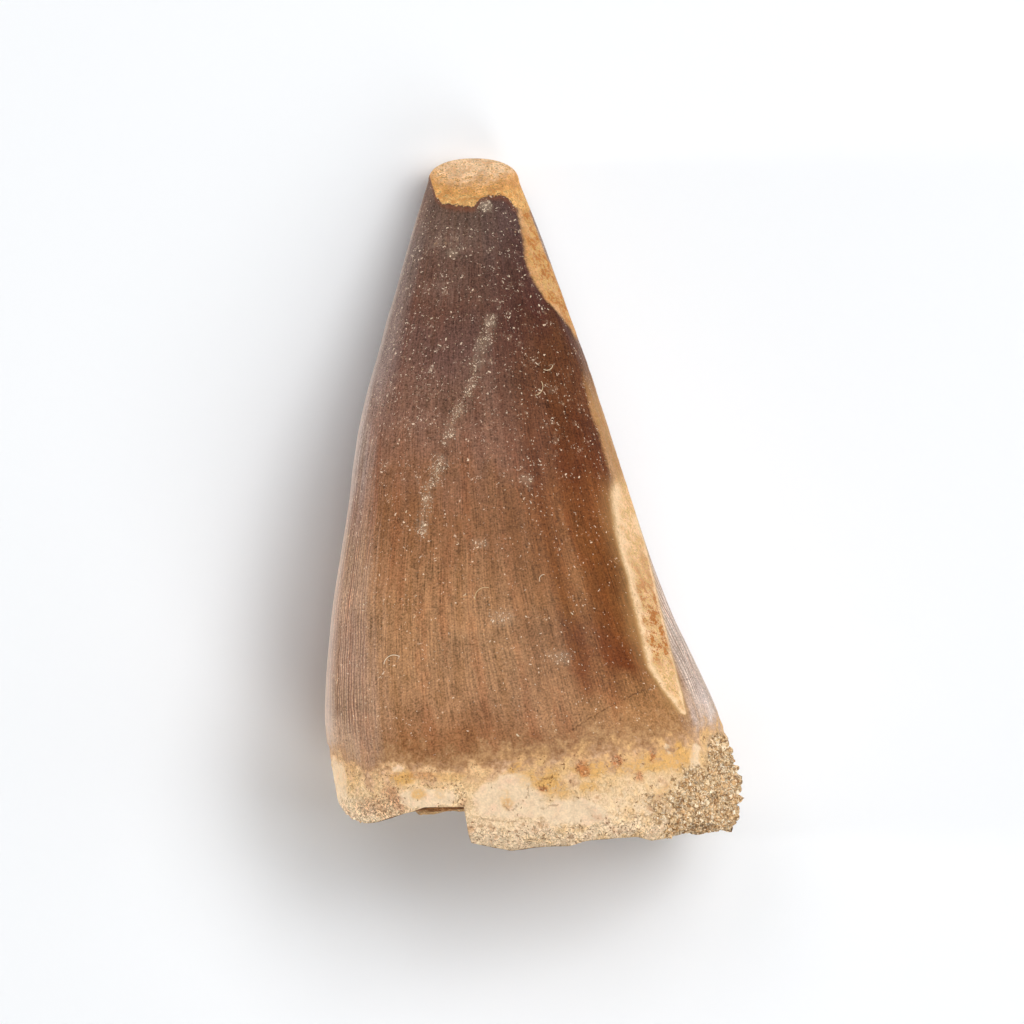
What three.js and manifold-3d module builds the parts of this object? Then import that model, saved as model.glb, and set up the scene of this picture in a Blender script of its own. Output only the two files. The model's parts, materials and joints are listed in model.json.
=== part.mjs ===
// A fossil mosasaur tooth lying on its side: the tall crown with its worn tip, the cutting
// edge worn down to a narrow strip along one side, and the short collar of root that broke
// off below the enamel.
//
// Millimetres. +Z is up, +Y runs from the broken base to the tip, and +X is the side of the
// worn cutting edge. The origin is on the resting surface, under the middle of the tooth.

import * as THREE from "three";
import { mergeVertices } from "three/addons/utils/BufferGeometryUtils.js";
import Module from "manifold-3d";

// Cross-sections from the base to the foot of the tip, each at its place y along the tooth:
// the left edge, the right edge, the height of the crest above the resting surface, and the
// angles, in degrees up from the right edge, between which the cutting edge is worn flat.
const SECTIONS = [
  { y: -22.6, left: -9.4, right: 11.2, crest: 17.2, wear: [34, 36] },
  { y: -19.2, left: -11.5, right: 12.3, crest: 17.5, wear: [34, 36] },
  { y: -16.2, left: -12.35, right: 12.3, crest: 17.4, wear: [34, 36] },
  { y: -12.0, left: -12.75, right: 10.75, crest: 16.7, wear: [32, 38] },
  { y: -6.8, left: -12.4, right: 8.4, crest: 15.2, wear: [17, 40] },
  { y: -1.0, left: -11.55, right: 6.3, crest: 13.3, wear: [9, 35] },
  { y: 5.0, left: -10.55, right: 4.3, crest: 11.2, wear: [12, 23] },
  { y: 10.6, left: -9.05, right: 2.35, crest: 8.9, wear: [16, 32] },
  { y: 15.6, left: -7.6, right: 0.55, crest: 6.7, wear: [19, 44] },
  { y: 19.6, left: -6.5, right: -1.0, crest: 4.9, wear: [20, 44] },
];

// The rounded end of the tip, past the last section.
const TIP_LENGTH = 1.4;
const TIP_ROUNDING = 2.2;

// The widest line lies at this part of the crest height. The upper side is a little squarer
// than the lower one, which sinks below the resting surface until the flat is cut.
const WIDEST_HEIGHT = 0.46;
const UPPER_SQUARENESS = 2.25;
const LOWER_SQUARENESS = 2.0;
const FLAT_DEPTH = 0.3;

// The fineness of the faceted surface. The sides up to WEAR_START lie below the worn strip,
// those up to WEAR_END on it, and those up to QUARTER between it and the crest.
const SIDES = 56;
const WEAR_START = 3;
const WEAR_END = 6;
const QUARTER = 14;
const RINGS_ALONG = 34;
const RINGS_IN_TIP = 7;

// The broken end of the root, as a line across the tooth from left to right. The left part
// broke off shorter than the right, with a sharp step between them.
const BREAK_LINE = [
  [-14.0, -18.6],
  [-11.4, -19.1],
  [-10.1, -19.5],
  [-8.0, -19.0],
  [-6.2, -18.7],
  [-4.2, -18.7],
  [-4.0, -20.5],
  [-1.4, -21.0],
  [2.2, -20.7],
  [4.0, -20.3],
  [7.4, -20.4],
  [10.1, -20.0],
  [14.0, -19.8],
];
const BREAK_DEPTH = 8.0;

// The worn end of the tip: a point on it and the way it faces.
const TIP_FACET = { point: [-3.7, 18.1, 5.6], facing: [-0.1, 0.74, 0.67] };

const CUTTER_SIZE = 80.0;

const FOSSIL = new THREE.MeshStandardMaterial({
  name: "fossil enamel and root",
  color: 0x8a5f42,
  roughness: 0.45,
  metalness: 0.0,
});

const wasm = await Module();
wasm.setup();

// Makes a closed geometry a solid that can be cut, with its shared corners merged.
function solidFrom(geometry) {
  geometry.deleteAttribute("normal");
  geometry.deleteAttribute("uv");
  const merged = mergeVertices(geometry);
  const mesh = new wasm.Mesh({
    numProp: 3,
    vertProperties: new Float32Array(merged.attributes.position.array),
    triVerts: new Uint32Array(merged.index.array),
  });
  return new wasm.Manifold(mesh);
}

// Turns a cut solid back into a geometry.
function geometryFrom(solid) {
  const mesh = solid.getMesh();
  const geometry = new THREE.BufferGeometry();
  geometry.setAttribute("position", new THREE.BufferAttribute(mesh.vertProperties, 3));
  geometry.setIndex(new THREE.BufferAttribute(mesh.triVerts, 1));
  geometry.computeVertexNormals();
  return geometry;
}

// A smooth run through one set of three values of the cross-sections.
function runThrough(pick) {
  const points = SECTIONS.map((section) => new THREE.Vector3(...pick(section)));
  return new THREE.CatmullRomCurve3(points, false, "catmullrom");
}

const outlineRun = runThrough(({ y, left, right }) => [y, left, right]);
const reliefRun = runThrough(({ crest, wear }) => [crest, ...wear]);

// The cross-section at a place t from 0 at the base to 1 at the foot of the tip.
function sectionAt(t) {
  const outline = outlineRun.getPoint(t);
  const relief = reliefRun.getPoint(t);
  const wear = [relief.y, relief.z].map(THREE.MathUtils.degToRad);
  return { y: outline.x, left: outline.y, right: outline.z, crest: relief.x, wear };
}

// A power that keeps its sign, for rounded squares.
function signedPower(value, power) {
  return Math.sign(value) * Math.abs(value) ** power;
}

// The unworn outline of a cross-section at an angle, drawn in by scale where the tip rounds off.
function outlinePoint({ y, left, right, crest }, angle, scale) {
  const widest = crest * WIDEST_HEIGHT;
  const upper = Math.sin(angle) >= 0;
  const power = 2 / (upper ? UPPER_SQUARENESS : LOWER_SQUARENESS);
  const height = upper ? crest - widest : widest + FLAT_DEPTH;
  return new THREE.Vector3(
    (left + right) / 2 + ((right - left) / 2) * scale * signedPower(Math.cos(angle), power),
    y,
    widest + height * scale * signedPower(Math.sin(angle), power),
  );
}

// One ring of points round a cross-section, flat across the worn strip.
function ringPoints(section, scale) {
  const [wearLow, wearHigh] = section.wear;
  const low = outlinePoint(section, wearLow, scale);
  const high = outlinePoint(section, wearHigh, scale);
  return Array.from({ length: SIDES }, (_, side) => {
    if (side < WEAR_START) {
      return outlinePoint(section, (side / WEAR_START) * wearLow, scale);
    }
    if (side <= WEAR_END) {
      return low.clone().lerp(high, (side - WEAR_START) / (WEAR_END - WEAR_START));
    }
    if (side <= QUARTER) {
      const above = (side - WEAR_END) / (QUARTER - WEAR_END);
      return outlinePoint(section, THREE.MathUtils.lerp(wearHigh, Math.PI / 2, above), scale);
    }
    const round = (side - QUARTER) / (SIDES - QUARTER);
    return outlinePoint(section, THREE.MathUtils.lerp(Math.PI / 2, 2 * Math.PI, round), scale);
  });
}

// All rings from the base to the tip.
function toothRings() {
  const rings = [];
  for (let ring = 0; ring <= RINGS_ALONG; ring += 1) {
    rings.push(ringPoints(sectionAt(ring / RINGS_ALONG), 1));
  }
  const foot = sectionAt(1);
  for (let ring = 1; ring < RINGS_IN_TIP; ring += 1) {
    const along = Math.sin(((ring / RINGS_IN_TIP) * Math.PI) / 2);
    const scale = (1 - along ** TIP_ROUNDING) ** (1 / TIP_ROUNDING);
    rings.push(ringPoints({ ...foot, y: foot.y + along * TIP_LENGTH }, scale));
  }
  return rings;
}

// The whole tooth before wear and breakage, closed by a point at each end.
function wholeTooth() {
  const rings = toothRings();
  const foot = sectionAt(1);
  const base = sectionAt(0);
  const tipPoint = new THREE.Vector3(
    (foot.left + foot.right) / 2,
    foot.y + TIP_LENGTH,
    foot.crest * WIDEST_HEIGHT,
  );
  const basePoint = new THREE.Vector3(
    (base.left + base.right) / 2,
    base.y,
    base.crest * WIDEST_HEIGHT,
  );
  const points = [...rings.flat(), basePoint, tipPoint];
  const baseIndex = points.length - 2;
  const tipIndex = points.length - 1;
  const faces = [];
  for (let ring = 0; ring < rings.length - 1; ring += 1) {
    for (let side = 0; side < SIDES; side += 1) {
      const next = (side + 1) % SIDES;
      const here = ring * SIDES;
      const beyond = here + SIDES;
      faces.push(here + side, beyond + side, beyond + next);
      faces.push(here + side, beyond + next, here + next);
    }
  }
  const lastRing = (rings.length - 1) * SIDES;
  for (let side = 0; side < SIDES; side += 1) {
    const next = (side + 1) % SIDES;
    faces.push(baseIndex, side, next);
    faces.push(tipIndex, lastRing + next, lastRing + side);
  }
  const geometry = new THREE.BufferGeometry().setFromPoints(points);
  geometry.setIndex(faces);
  return solidFrom(geometry);
}

// A block that covers everything on the facing side of a plane.
function planeCutter({ point, facing }) {
  const block = new THREE.BoxGeometry(CUTTER_SIZE, CUTTER_SIZE, CUTTER_SIZE);
  block.translate(0, 0, CUTTER_SIZE / 2);
  const up = new THREE.Vector3(0, 0, 1);
  const normal = new THREE.Vector3(...facing).normalize();
  block.applyQuaternion(new THREE.Quaternion().setFromUnitVectors(up, normal));
  block.translate(...point);
  return solidFrom(block);
}

// The missing root: everything past the broken line, from the resting surface to the crest.
function missingRoot() {
  const outline = new THREE.Shape(BREAK_LINE.map(([x, y]) => new THREE.Vector2(x, y)));
  const [firstX, firstY] = BREAK_LINE[0];
  const [lastX, lastY] = BREAK_LINE[BREAK_LINE.length - 1];
  outline.lineTo(lastX, lastY - BREAK_DEPTH);
  outline.lineTo(firstX, firstY - BREAK_DEPTH);
  outline.closePath();
  const slab = new THREE.ExtrudeGeometry(outline, { depth: CUTTER_SIZE, bevelEnabled: false });
  slab.translate(0, 0, -CUTTER_SIZE / 2);
  return solidFrom(slab);
}

// The worn and broken tooth, moved so that the origin is under the middle of it.
function fossilTooth() {
  const belowFlat = planeCutter({ point: [0, 0, 0], facing: [0, 0, -1] });
  const tipWear = planeCutter(TIP_FACET);
  const cutters = [missingRoot(), belowFlat, tipWear];
  const solid = cutters.reduce((tooth, cutter) => tooth.subtract(cutter), wholeTooth());
  const geometry = geometryFrom(solid);
  geometry.computeBoundingBox();
  const { min, max } = geometry.boundingBox;
  geometry.translate(-(min.x + max.x) / 2, -(min.y + max.y) / 2, -min.z);
  const mesh = new THREE.Mesh(geometry, FOSSIL);
  mesh.name = "tooth";
  return mesh;
}

const part = new THREE.Group();
part.add(fossilTooth());

export default part;
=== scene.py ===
"""A fossil mosasaur tooth lying on its side on a pale floor.

The brown ridged crown, its worn tip and cutting edge, the broken collar of root and the grit that
is cemented to it are one body. Loose-looking grains, dust and lint on its surface ride with it.
"""

import json
import logging
import math
from dataclasses import dataclass, field
from enum import Enum
from typing import ClassVar

import bmesh
import bpy
import numpy as np
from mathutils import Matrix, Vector
from mathutils.bvhtree import BVHTree

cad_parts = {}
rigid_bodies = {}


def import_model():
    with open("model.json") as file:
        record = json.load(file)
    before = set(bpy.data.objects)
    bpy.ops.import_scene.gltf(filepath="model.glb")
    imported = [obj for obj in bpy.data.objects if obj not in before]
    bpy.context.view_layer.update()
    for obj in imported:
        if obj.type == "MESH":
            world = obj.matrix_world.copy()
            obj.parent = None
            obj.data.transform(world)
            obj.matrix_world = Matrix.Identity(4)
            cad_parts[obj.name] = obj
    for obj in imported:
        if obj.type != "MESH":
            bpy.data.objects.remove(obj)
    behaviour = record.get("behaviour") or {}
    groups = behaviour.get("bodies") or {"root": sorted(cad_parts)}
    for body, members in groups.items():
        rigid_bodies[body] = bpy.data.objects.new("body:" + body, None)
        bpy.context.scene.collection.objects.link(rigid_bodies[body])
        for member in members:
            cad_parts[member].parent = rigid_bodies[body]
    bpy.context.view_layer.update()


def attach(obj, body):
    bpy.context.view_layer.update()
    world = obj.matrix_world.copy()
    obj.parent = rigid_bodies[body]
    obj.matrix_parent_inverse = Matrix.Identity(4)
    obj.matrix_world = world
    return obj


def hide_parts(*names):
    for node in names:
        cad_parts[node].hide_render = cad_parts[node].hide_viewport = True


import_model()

LOG = logging.getLogger("fossil_tooth")
MM = 0.001
TURN = 2 * math.pi
FAR = 9.0  # Millimetres. Distances from a mark stop here.
Pair = tuple[float, float]  # A point, or where something starts and where it is full.
Line = tuple[Pair, ...]
Tint = tuple[int, int, int]
Stops = tuple[tuple[float, Tint], ...]


def smooth_step(low: float, high: float, value: np.ndarray) -> np.ndarray:
    """Eases from 0 to 1.

    Args:
        low: Where the result leaves 0. It may be above high, for a falling step.
        high: Where the result reaches 1.
        value: The values to ease.

    Returns:
        The eased values.
    """
    share = np.clip((value - low) / (high - low), 0.0, 1.0)
    return share * share * (3.0 - 2.0 * share)


def read_line(line: Line, place: np.ndarray) -> np.ndarray:
    """Reads a line, given by its corners, at some places along it."""
    return np.interp(place, *np.array(line).T)


def show(name: str, data: bpy.types.ID) -> bpy.types.Object:
    """Puts a new object into the scene.

    Args:
        name: The object's name.
        data: Its mesh, light or camera.

    Returns:
        The object.
    """
    shown = bpy.data.objects.new(name, data)
    bpy.context.scene.collection.objects.link(shown)
    return shown


class LatticeNoise:
    """Smooth three-dimensional noise from -1 to 1, the same on every run."""

    TABLE = 8192
    PRIMES = (73856093, 19349663, 83492791)

    def __init__(self, seed: int) -> None:
        """Fills the table of values.

        Args:
            seed: Chooses the pattern.
        """
        self.values = np.random.default_rng(seed).uniform(-1.0, 1.0, self.TABLE)

    def at(self, points: np.ndarray) -> np.ndarray:
        """Reads the noise.

        Args:
            points: Places, with x, y and z on the last axis.

        Returns:
            One value for each place.
        """
        cell = np.floor(points).astype(np.int64)
        inside = points - cell
        ease = inside**3 * (inside * (inside * 6.0 - 15.0) + 10.0)
        total = np.zeros(points.shape[:-1])
        for corner in np.ndindex(2, 2, 2):
            x, y, z = np.moveaxis((cell + np.array(corner)) * np.array(self.PRIMES), -1, 0)
            mixed = x ^ y ^ z
            mixed ^= mixed >> 13
            weight = np.prod(np.where(np.array(corner) == 1, ease, 1.0 - ease), axis=-1)
            total += weight * self.values[mixed & (self.TABLE - 1)]
        return total

    def fractal(self, points: np.ndarray, octaves: int) -> np.ndarray:
        """Adds finer and fainter copies of the noise.

        Args:
            points: Places, with x, y and z on the last axis.
            octaves: How many copies.

        Returns:
            One value for each place, from about -1 to 1.
        """
        total = np.zeros(points.shape[:-1])
        for octave in range(octaves):
            total += self.at(points * 2.03**octave + 17.3 * octave) * 0.5**octave
        return total


@dataclass(frozen=True)
class Lumps:
    """Unevenness: the height and size of its lumps in millimetres, and its octaves of noise."""

    height: float
    size: float
    octaves: int = 1

    def at(self, points: np.ndarray, noise: LatticeNoise) -> np.ndarray:
        """Reads how far the lumps stand out at some points."""
        return self.height * noise.fractal(points / self.size, self.octaves)


@dataclass(frozen=True)
class Section:
    """One cross-section of the tooth, in millimetres and degrees.

    The wear angles, up from the right edge, bound the flat worn on the cutting edge.
    """

    place: float
    left: float
    right: float
    crest: float
    wear_low: float
    wear_high: float


@dataclass(frozen=True)
class ToothForm:
    """The smooth form of the tooth before it broke, the same one that the CAD solid follows."""

    sections: tuple[Section, ...] = (
        Section(-22.6, -9.4, 11.2, 17.2, 34, 36),
        Section(-19.2, -11.5, 12.1, 17.5, 34, 36),
        Section(-16.2, -12.35, 12.2, 17.4, 34, 36),
        Section(-12.0, -12.75, 10.75, 16.7, 32, 38),
        Section(-6.8, -12.4, 8.4, 15.2, 17, 40),
        Section(-1.0, -11.55, 6.0, 13.3, 9, 35),
        Section(5.0, -10.6, 4.15, 11.2, 12, 23),
        Section(10.6, -9.15, 2.35, 8.9, 16, 32),
        Section(15.6, -7.7, 0.55, 6.7, 19, 44),
        Section(19.6, -6.5, -1.0, 4.9, 20, 44),
    )
    tip_length: float = 1.4
    tip_rounding: float = 2.2
    widest_height: float = 0.46
    upper_squareness: float = 2.25
    lower_squareness: float = 2.0
    flat_depth: float = 0.3
    edge_ridge: float = 0.35
    edge_ridge_width: float = 0.3
    edge_ridge_from: Pair = (-17.0, -11.0)
    edge_ridge_to: Pair = (20.5, 12.0)
    centre_shift: float = 0.14
    run_steps: int = 1200

    def runs(self) -> np.ndarray:
        """Draws the smooth run through the sections.

        Returns:
            Rows of place, left, right, crest and the two wear angles in radians, base to tip.
        """
        table = np.array([
            (s.place, s.left, s.right, s.crest, math.radians(s.wear_low), math.radians(s.wear_high))
            for s in self.sections
        ])
        first = 2 * table[0] - table[1]
        last = 2 * table[-1] - table[-2]
        padded = np.vstack([first, table, last])
        spans = len(table) - 1
        run = np.linspace(0.0, spans, self.run_steps)
        span = np.minimum(run.astype(int), spans - 1)
        t = (run - span)[:, None]
        a, b, c, d = (padded[span + step] for step in range(4))
        slope_b = (c - a) / 2
        slope_c = (d - b) / 2
        return (
            b * (2 * t**3 - 3 * t**2 + 1)
            + slope_b * (t**3 - 2 * t**2 + t)
            + c * (3 * t**2 - 2 * t**3)
            + slope_c * (t**3 - t**2)
        )

    def section_at(self, place: np.ndarray) -> tuple[np.ndarray, ...]:
        """Looks up the cross-section at a place along the tooth.

        Args:
            place: Places along the tooth, in millimetres.

        Returns:
            Left, right, crest, the two wear angles and the scale that rounds the tip off.
        """
        runs = self.runs()
        foot = runs[-1, 0]
        held = np.minimum(place, foot)
        found = [np.interp(held, runs[:, 0], runs[:, column]) for column in range(1, 6)]
        beyond = np.clip((place - foot) / self.tip_length, 0.0, 1.0)
        scale = (1.0 - beyond**self.tip_rounding) ** (1.0 / self.tip_rounding)
        return (*found, scale)

    def outline(self, angle: np.ndarray, place: np.ndarray) -> np.ndarray:
        """Finds points on the unworn surface.

        Args:
            angle: Angles round the section, up from the right edge.
            place: Places along the tooth.

        Returns:
            Points, with x, y and z on the last axis.
        """
        left, right, crest, low, high, scale = self.section_at(place)
        widest = crest * self.widest_height
        upper = np.sin(angle) >= 0
        power = np.where(upper, 2 / self.upper_squareness, 2 / self.lower_squareness)
        height = np.where(upper, crest - widest, widest + self.flat_depth)
        cosine = np.sign(np.cos(angle)) * np.abs(np.cos(angle)) ** power
        sine = np.sign(np.sin(angle)) * np.abs(np.sin(angle)) ** power
        off = np.angle(np.exp(1j * (angle - (low + high) / 2)))
        swell = self.edge_ridge * np.exp(-np.abs(off / self.edge_ridge_width) ** 1.5) * scale
        swell = swell * smooth_step(*self.edge_ridge_from, place) * smooth_step(*self.edge_ridge_to, place)
        x = (left + right) / 2 + (right - left) / 2 * scale * cosine + swell * np.cos(angle)
        z = widest + height * scale * sine + swell * np.sin(angle)
        y = np.broadcast_to(place, x.shape)
        return np.stack([x + self.centre_shift, y, z], axis=-1)

    def surface(self, angle: np.ndarray, place: np.ndarray) -> np.ndarray:
        """Finds points on the surface with its cutting edge worn flat.

        Args:
            angle: Angles round the section, up from the right edge.
            place: Places along the tooth.

        Returns:
            The points.
        """
        points = self.outline(angle, place)
        low, high = self.section_at(place)[3:5]
        turned = np.mod(angle + math.pi, TURN) - math.pi
        share = np.clip((turned - low) / (high - low), 0.0, 1.0)
        start = self.outline(low, place)
        end = self.outline(high, place)
        chord = start + (end - start) * share[..., None]
        inside = (turned > low) & (turned < high)
        return np.where(inside[..., None], chord, points)


@dataclass(frozen=True)
class BrokenEnd:
    """Where the root broke off: the left part is shorter than the right, with a step between."""

    left_line: Line = (
        (-14.0, -18.6), (-11.5, -18.95), (-11.0, -19.2), (-10.4, -19.4), (-9.6, -19.3), (-8.9, -19.05),
        (-8.0, -18.76), (-7.3, -18.6), (-6.6, -18.32), (-4.2, -18.3), (4.0, -18.7), (14.0, -18.6),
    )
    right_line: Line = (
        (-14.0, -20.5), (-4.0, -20.5), (-2.9, -20.76), (-1.4, -21.0), (0.1, -20.76), (2.2, -20.7),
        (3.2, -20.4), (4.0, -20.3), (6.5, -20.15), (7.4, -20.4), (8.9, -20.2), (10.1, -19.95),
        (12.1, -19.85), (14.0, -19.8),
    )
    step_place: float = -4.05
    step_slant: float = 0.3
    step_sharpness: float = 0.06
    notch_start: Pair = (-7.5, -6.7)
    ledge: float = 0.3
    ledge_start: Pair = (-7.9, -6.2)
    ledge_end: Pair = (-6.0, -4.3)
    hollow: float = 1.3
    hollow_reach: Pair = (0.35, 0.75)
    roughness: Lumps = Lumps(0.34, 2.1, 5)
    noise: LatticeNoise = LatticeNoise(11)

    def place_at(self, x: np.ndarray, depth: np.ndarray, inward: np.ndarray) -> np.ndarray:
        """Finds the broken surface's place along the tooth.

        Args:
            x: Places across the tooth.
            depth: How far below the crest surface, in millimetres.
            inward: How far in from the rim, from 0 at the rim to 1 in the middle.

        Returns:
            The place along the tooth.
        """
        left = read_line(self.left_line, x)
        right = read_line(self.right_line, x)
        below = np.maximum(depth, 0.0)
        step = self.step_place + self.step_slant * below
        half = self.step_sharpness + 0.2 * below
        notch = smooth_step(*self.notch_start, x)
        band = smooth_step(*self.ledge_start, x) * (1.0 - 0.6 * smooth_step(*self.ledge_end, x))
        left = left - self.ledge * smooth_step(0.05, 0.9, below) * band
        share = smooth_step(-1.0, 1.0, (x - step) / half)
        across = np.stack([x, below, np.zeros_like(x)], axis=-1)
        rough = self.roughness.at(across, self.noise) * smooth_step(0.0, 1.2, below)
        hollow = self.hollow * smooth_step(*self.hollow_reach, inward)
        kept_back = 0.2 * smooth_step(0.2, 1.5, below) + 0.45 * smooth_step(0.02, 0.16, inward)
        return left + (right - left) * share + rough + hollow + kept_back * (1.0 - notch * (1.0 - share))


@dataclass(frozen=True)
class EnamelEdge:
    """The lower margin of the enamel, as its place along the tooth at angles round it."""

    margin: Line = (
        (-90, -14.4), (-45, -13.6), (0, -12.8), (20, -13.2), (35, -13.6), (44, -14.0), (60, -14.2),
        (72, -14.6), (83, -15.05), (92, -15.2), (102, -15.65), (110, -15.85), (124, -15.7),
        (131, -15.55), (142, -16.0), (154, -15.4), (180, -14.3), (225, -14.0), (270, -14.4),
    )
    step: float = 0.13

    def place_at(self, angle: np.ndarray) -> np.ndarray:
        """Looks up the margin's place along the tooth at an angle from -90 to 270 degrees."""
        return read_line(self.margin, np.degrees(angle))


@dataclass(frozen=True)
class RidgedFlank:
    """The part of the crown that keeps its fine lengthwise ridges, and the ridges' size."""

    upper_edge: Line = (
        (-16, 134), (-6, 137), (3, 149), (8, 163), (14, 172), (20, 176),
    )
    pitch: float = 0.37
    height: float = 0.009
    worn_height: float = 0.006
    fade: Pair = (14.0, 1.0)

    def depth_at(self, angle: np.ndarray, place: np.ndarray, low: np.ndarray) -> np.ndarray:
        """Measures how far inside the ridged part a point lies, in degrees.

        Args:
            angle: Angles from -90 to 270 degrees, in radians.
            place: Places along the tooth.
            low: The lower edge of the worn strip, in radians.

        Returns:
            Degrees inside the ridged part, negative on the polished face.
        """
        from_left = np.degrees(angle) - read_line(self.upper_edge, place)
        from_right = np.degrees(low - angle)
        return np.maximum(from_left, from_right)


@dataclass(frozen=True)
class GritCrust:
    """Cemented sand at the right corner of the root."""

    thickness: float = 0.5
    lump: float = 0.62
    ragged: Lumps = Lumps(1.3, 1.8, 3)
    corner_across: Pair = (6.6, 9.4)
    corner_along: Pair = (-15.6, -17.4)
    rim_across: Pair = (10.2, 11.3)
    rim_along: Pair = (-13.3, -14.6)
    above_floor: Pair = (0.4, 2.5)

    def amount_at(self, points: np.ndarray, noise: LatticeNoise) -> np.ndarray:
        """Measures how much crust lies on the surface.

        Args:
            points: Places on the surface.
            noise: Breaks up the crust's margin.

        Returns:
            The amount, from 0 to 1.
        """
        x, y, z = np.moveaxis(points, -1, 0)
        ragged = self.ragged.at(points, noise)
        corner = smooth_step(*self.corner_across, x + ragged)
        corner = corner * smooth_step(*self.corner_along, y + 0.6 * ragged)
        rim = smooth_step(*self.rim_across, x + 0.35 * ragged)
        rim = rim * smooth_step(*self.rim_along, y + 0.5 * ragged)
        return np.maximum(corner, rim) * smooth_step(*self.above_floor, z + ragged)


@dataclass(frozen=True)
class Plane:
    """A flat place: a point on it and the way it faces."""

    point: tuple[float, float, float]
    facing: tuple[float, float, float]

    def height_of(self, points: np.ndarray) -> np.ndarray:
        """Measures how far points stand proud of the plane, in millimetres."""
        normal = np.array(self.facing) / np.linalg.norm(self.facing)
        return (points - np.array(self.point)) @ normal

    def press(self, points: np.ndarray, proud: np.ndarray, softness: float) -> np.ndarray:
        """Presses the points that stand proud down to the plane.

        Args:
            points: Places to press.
            proud: How far each one stands proud.
            softness: The radius of the edge that is left, in millimetres.

        Returns:
            The pressed places.
        """
        normal = np.array(self.facing) / np.linalg.norm(self.facing)
        push = 0.5 * (proud + np.sqrt(proud**2 + softness**2))
        push = np.where(proud < -4 * softness, 0.0, push)
        return points - push[..., None] * normal


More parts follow.
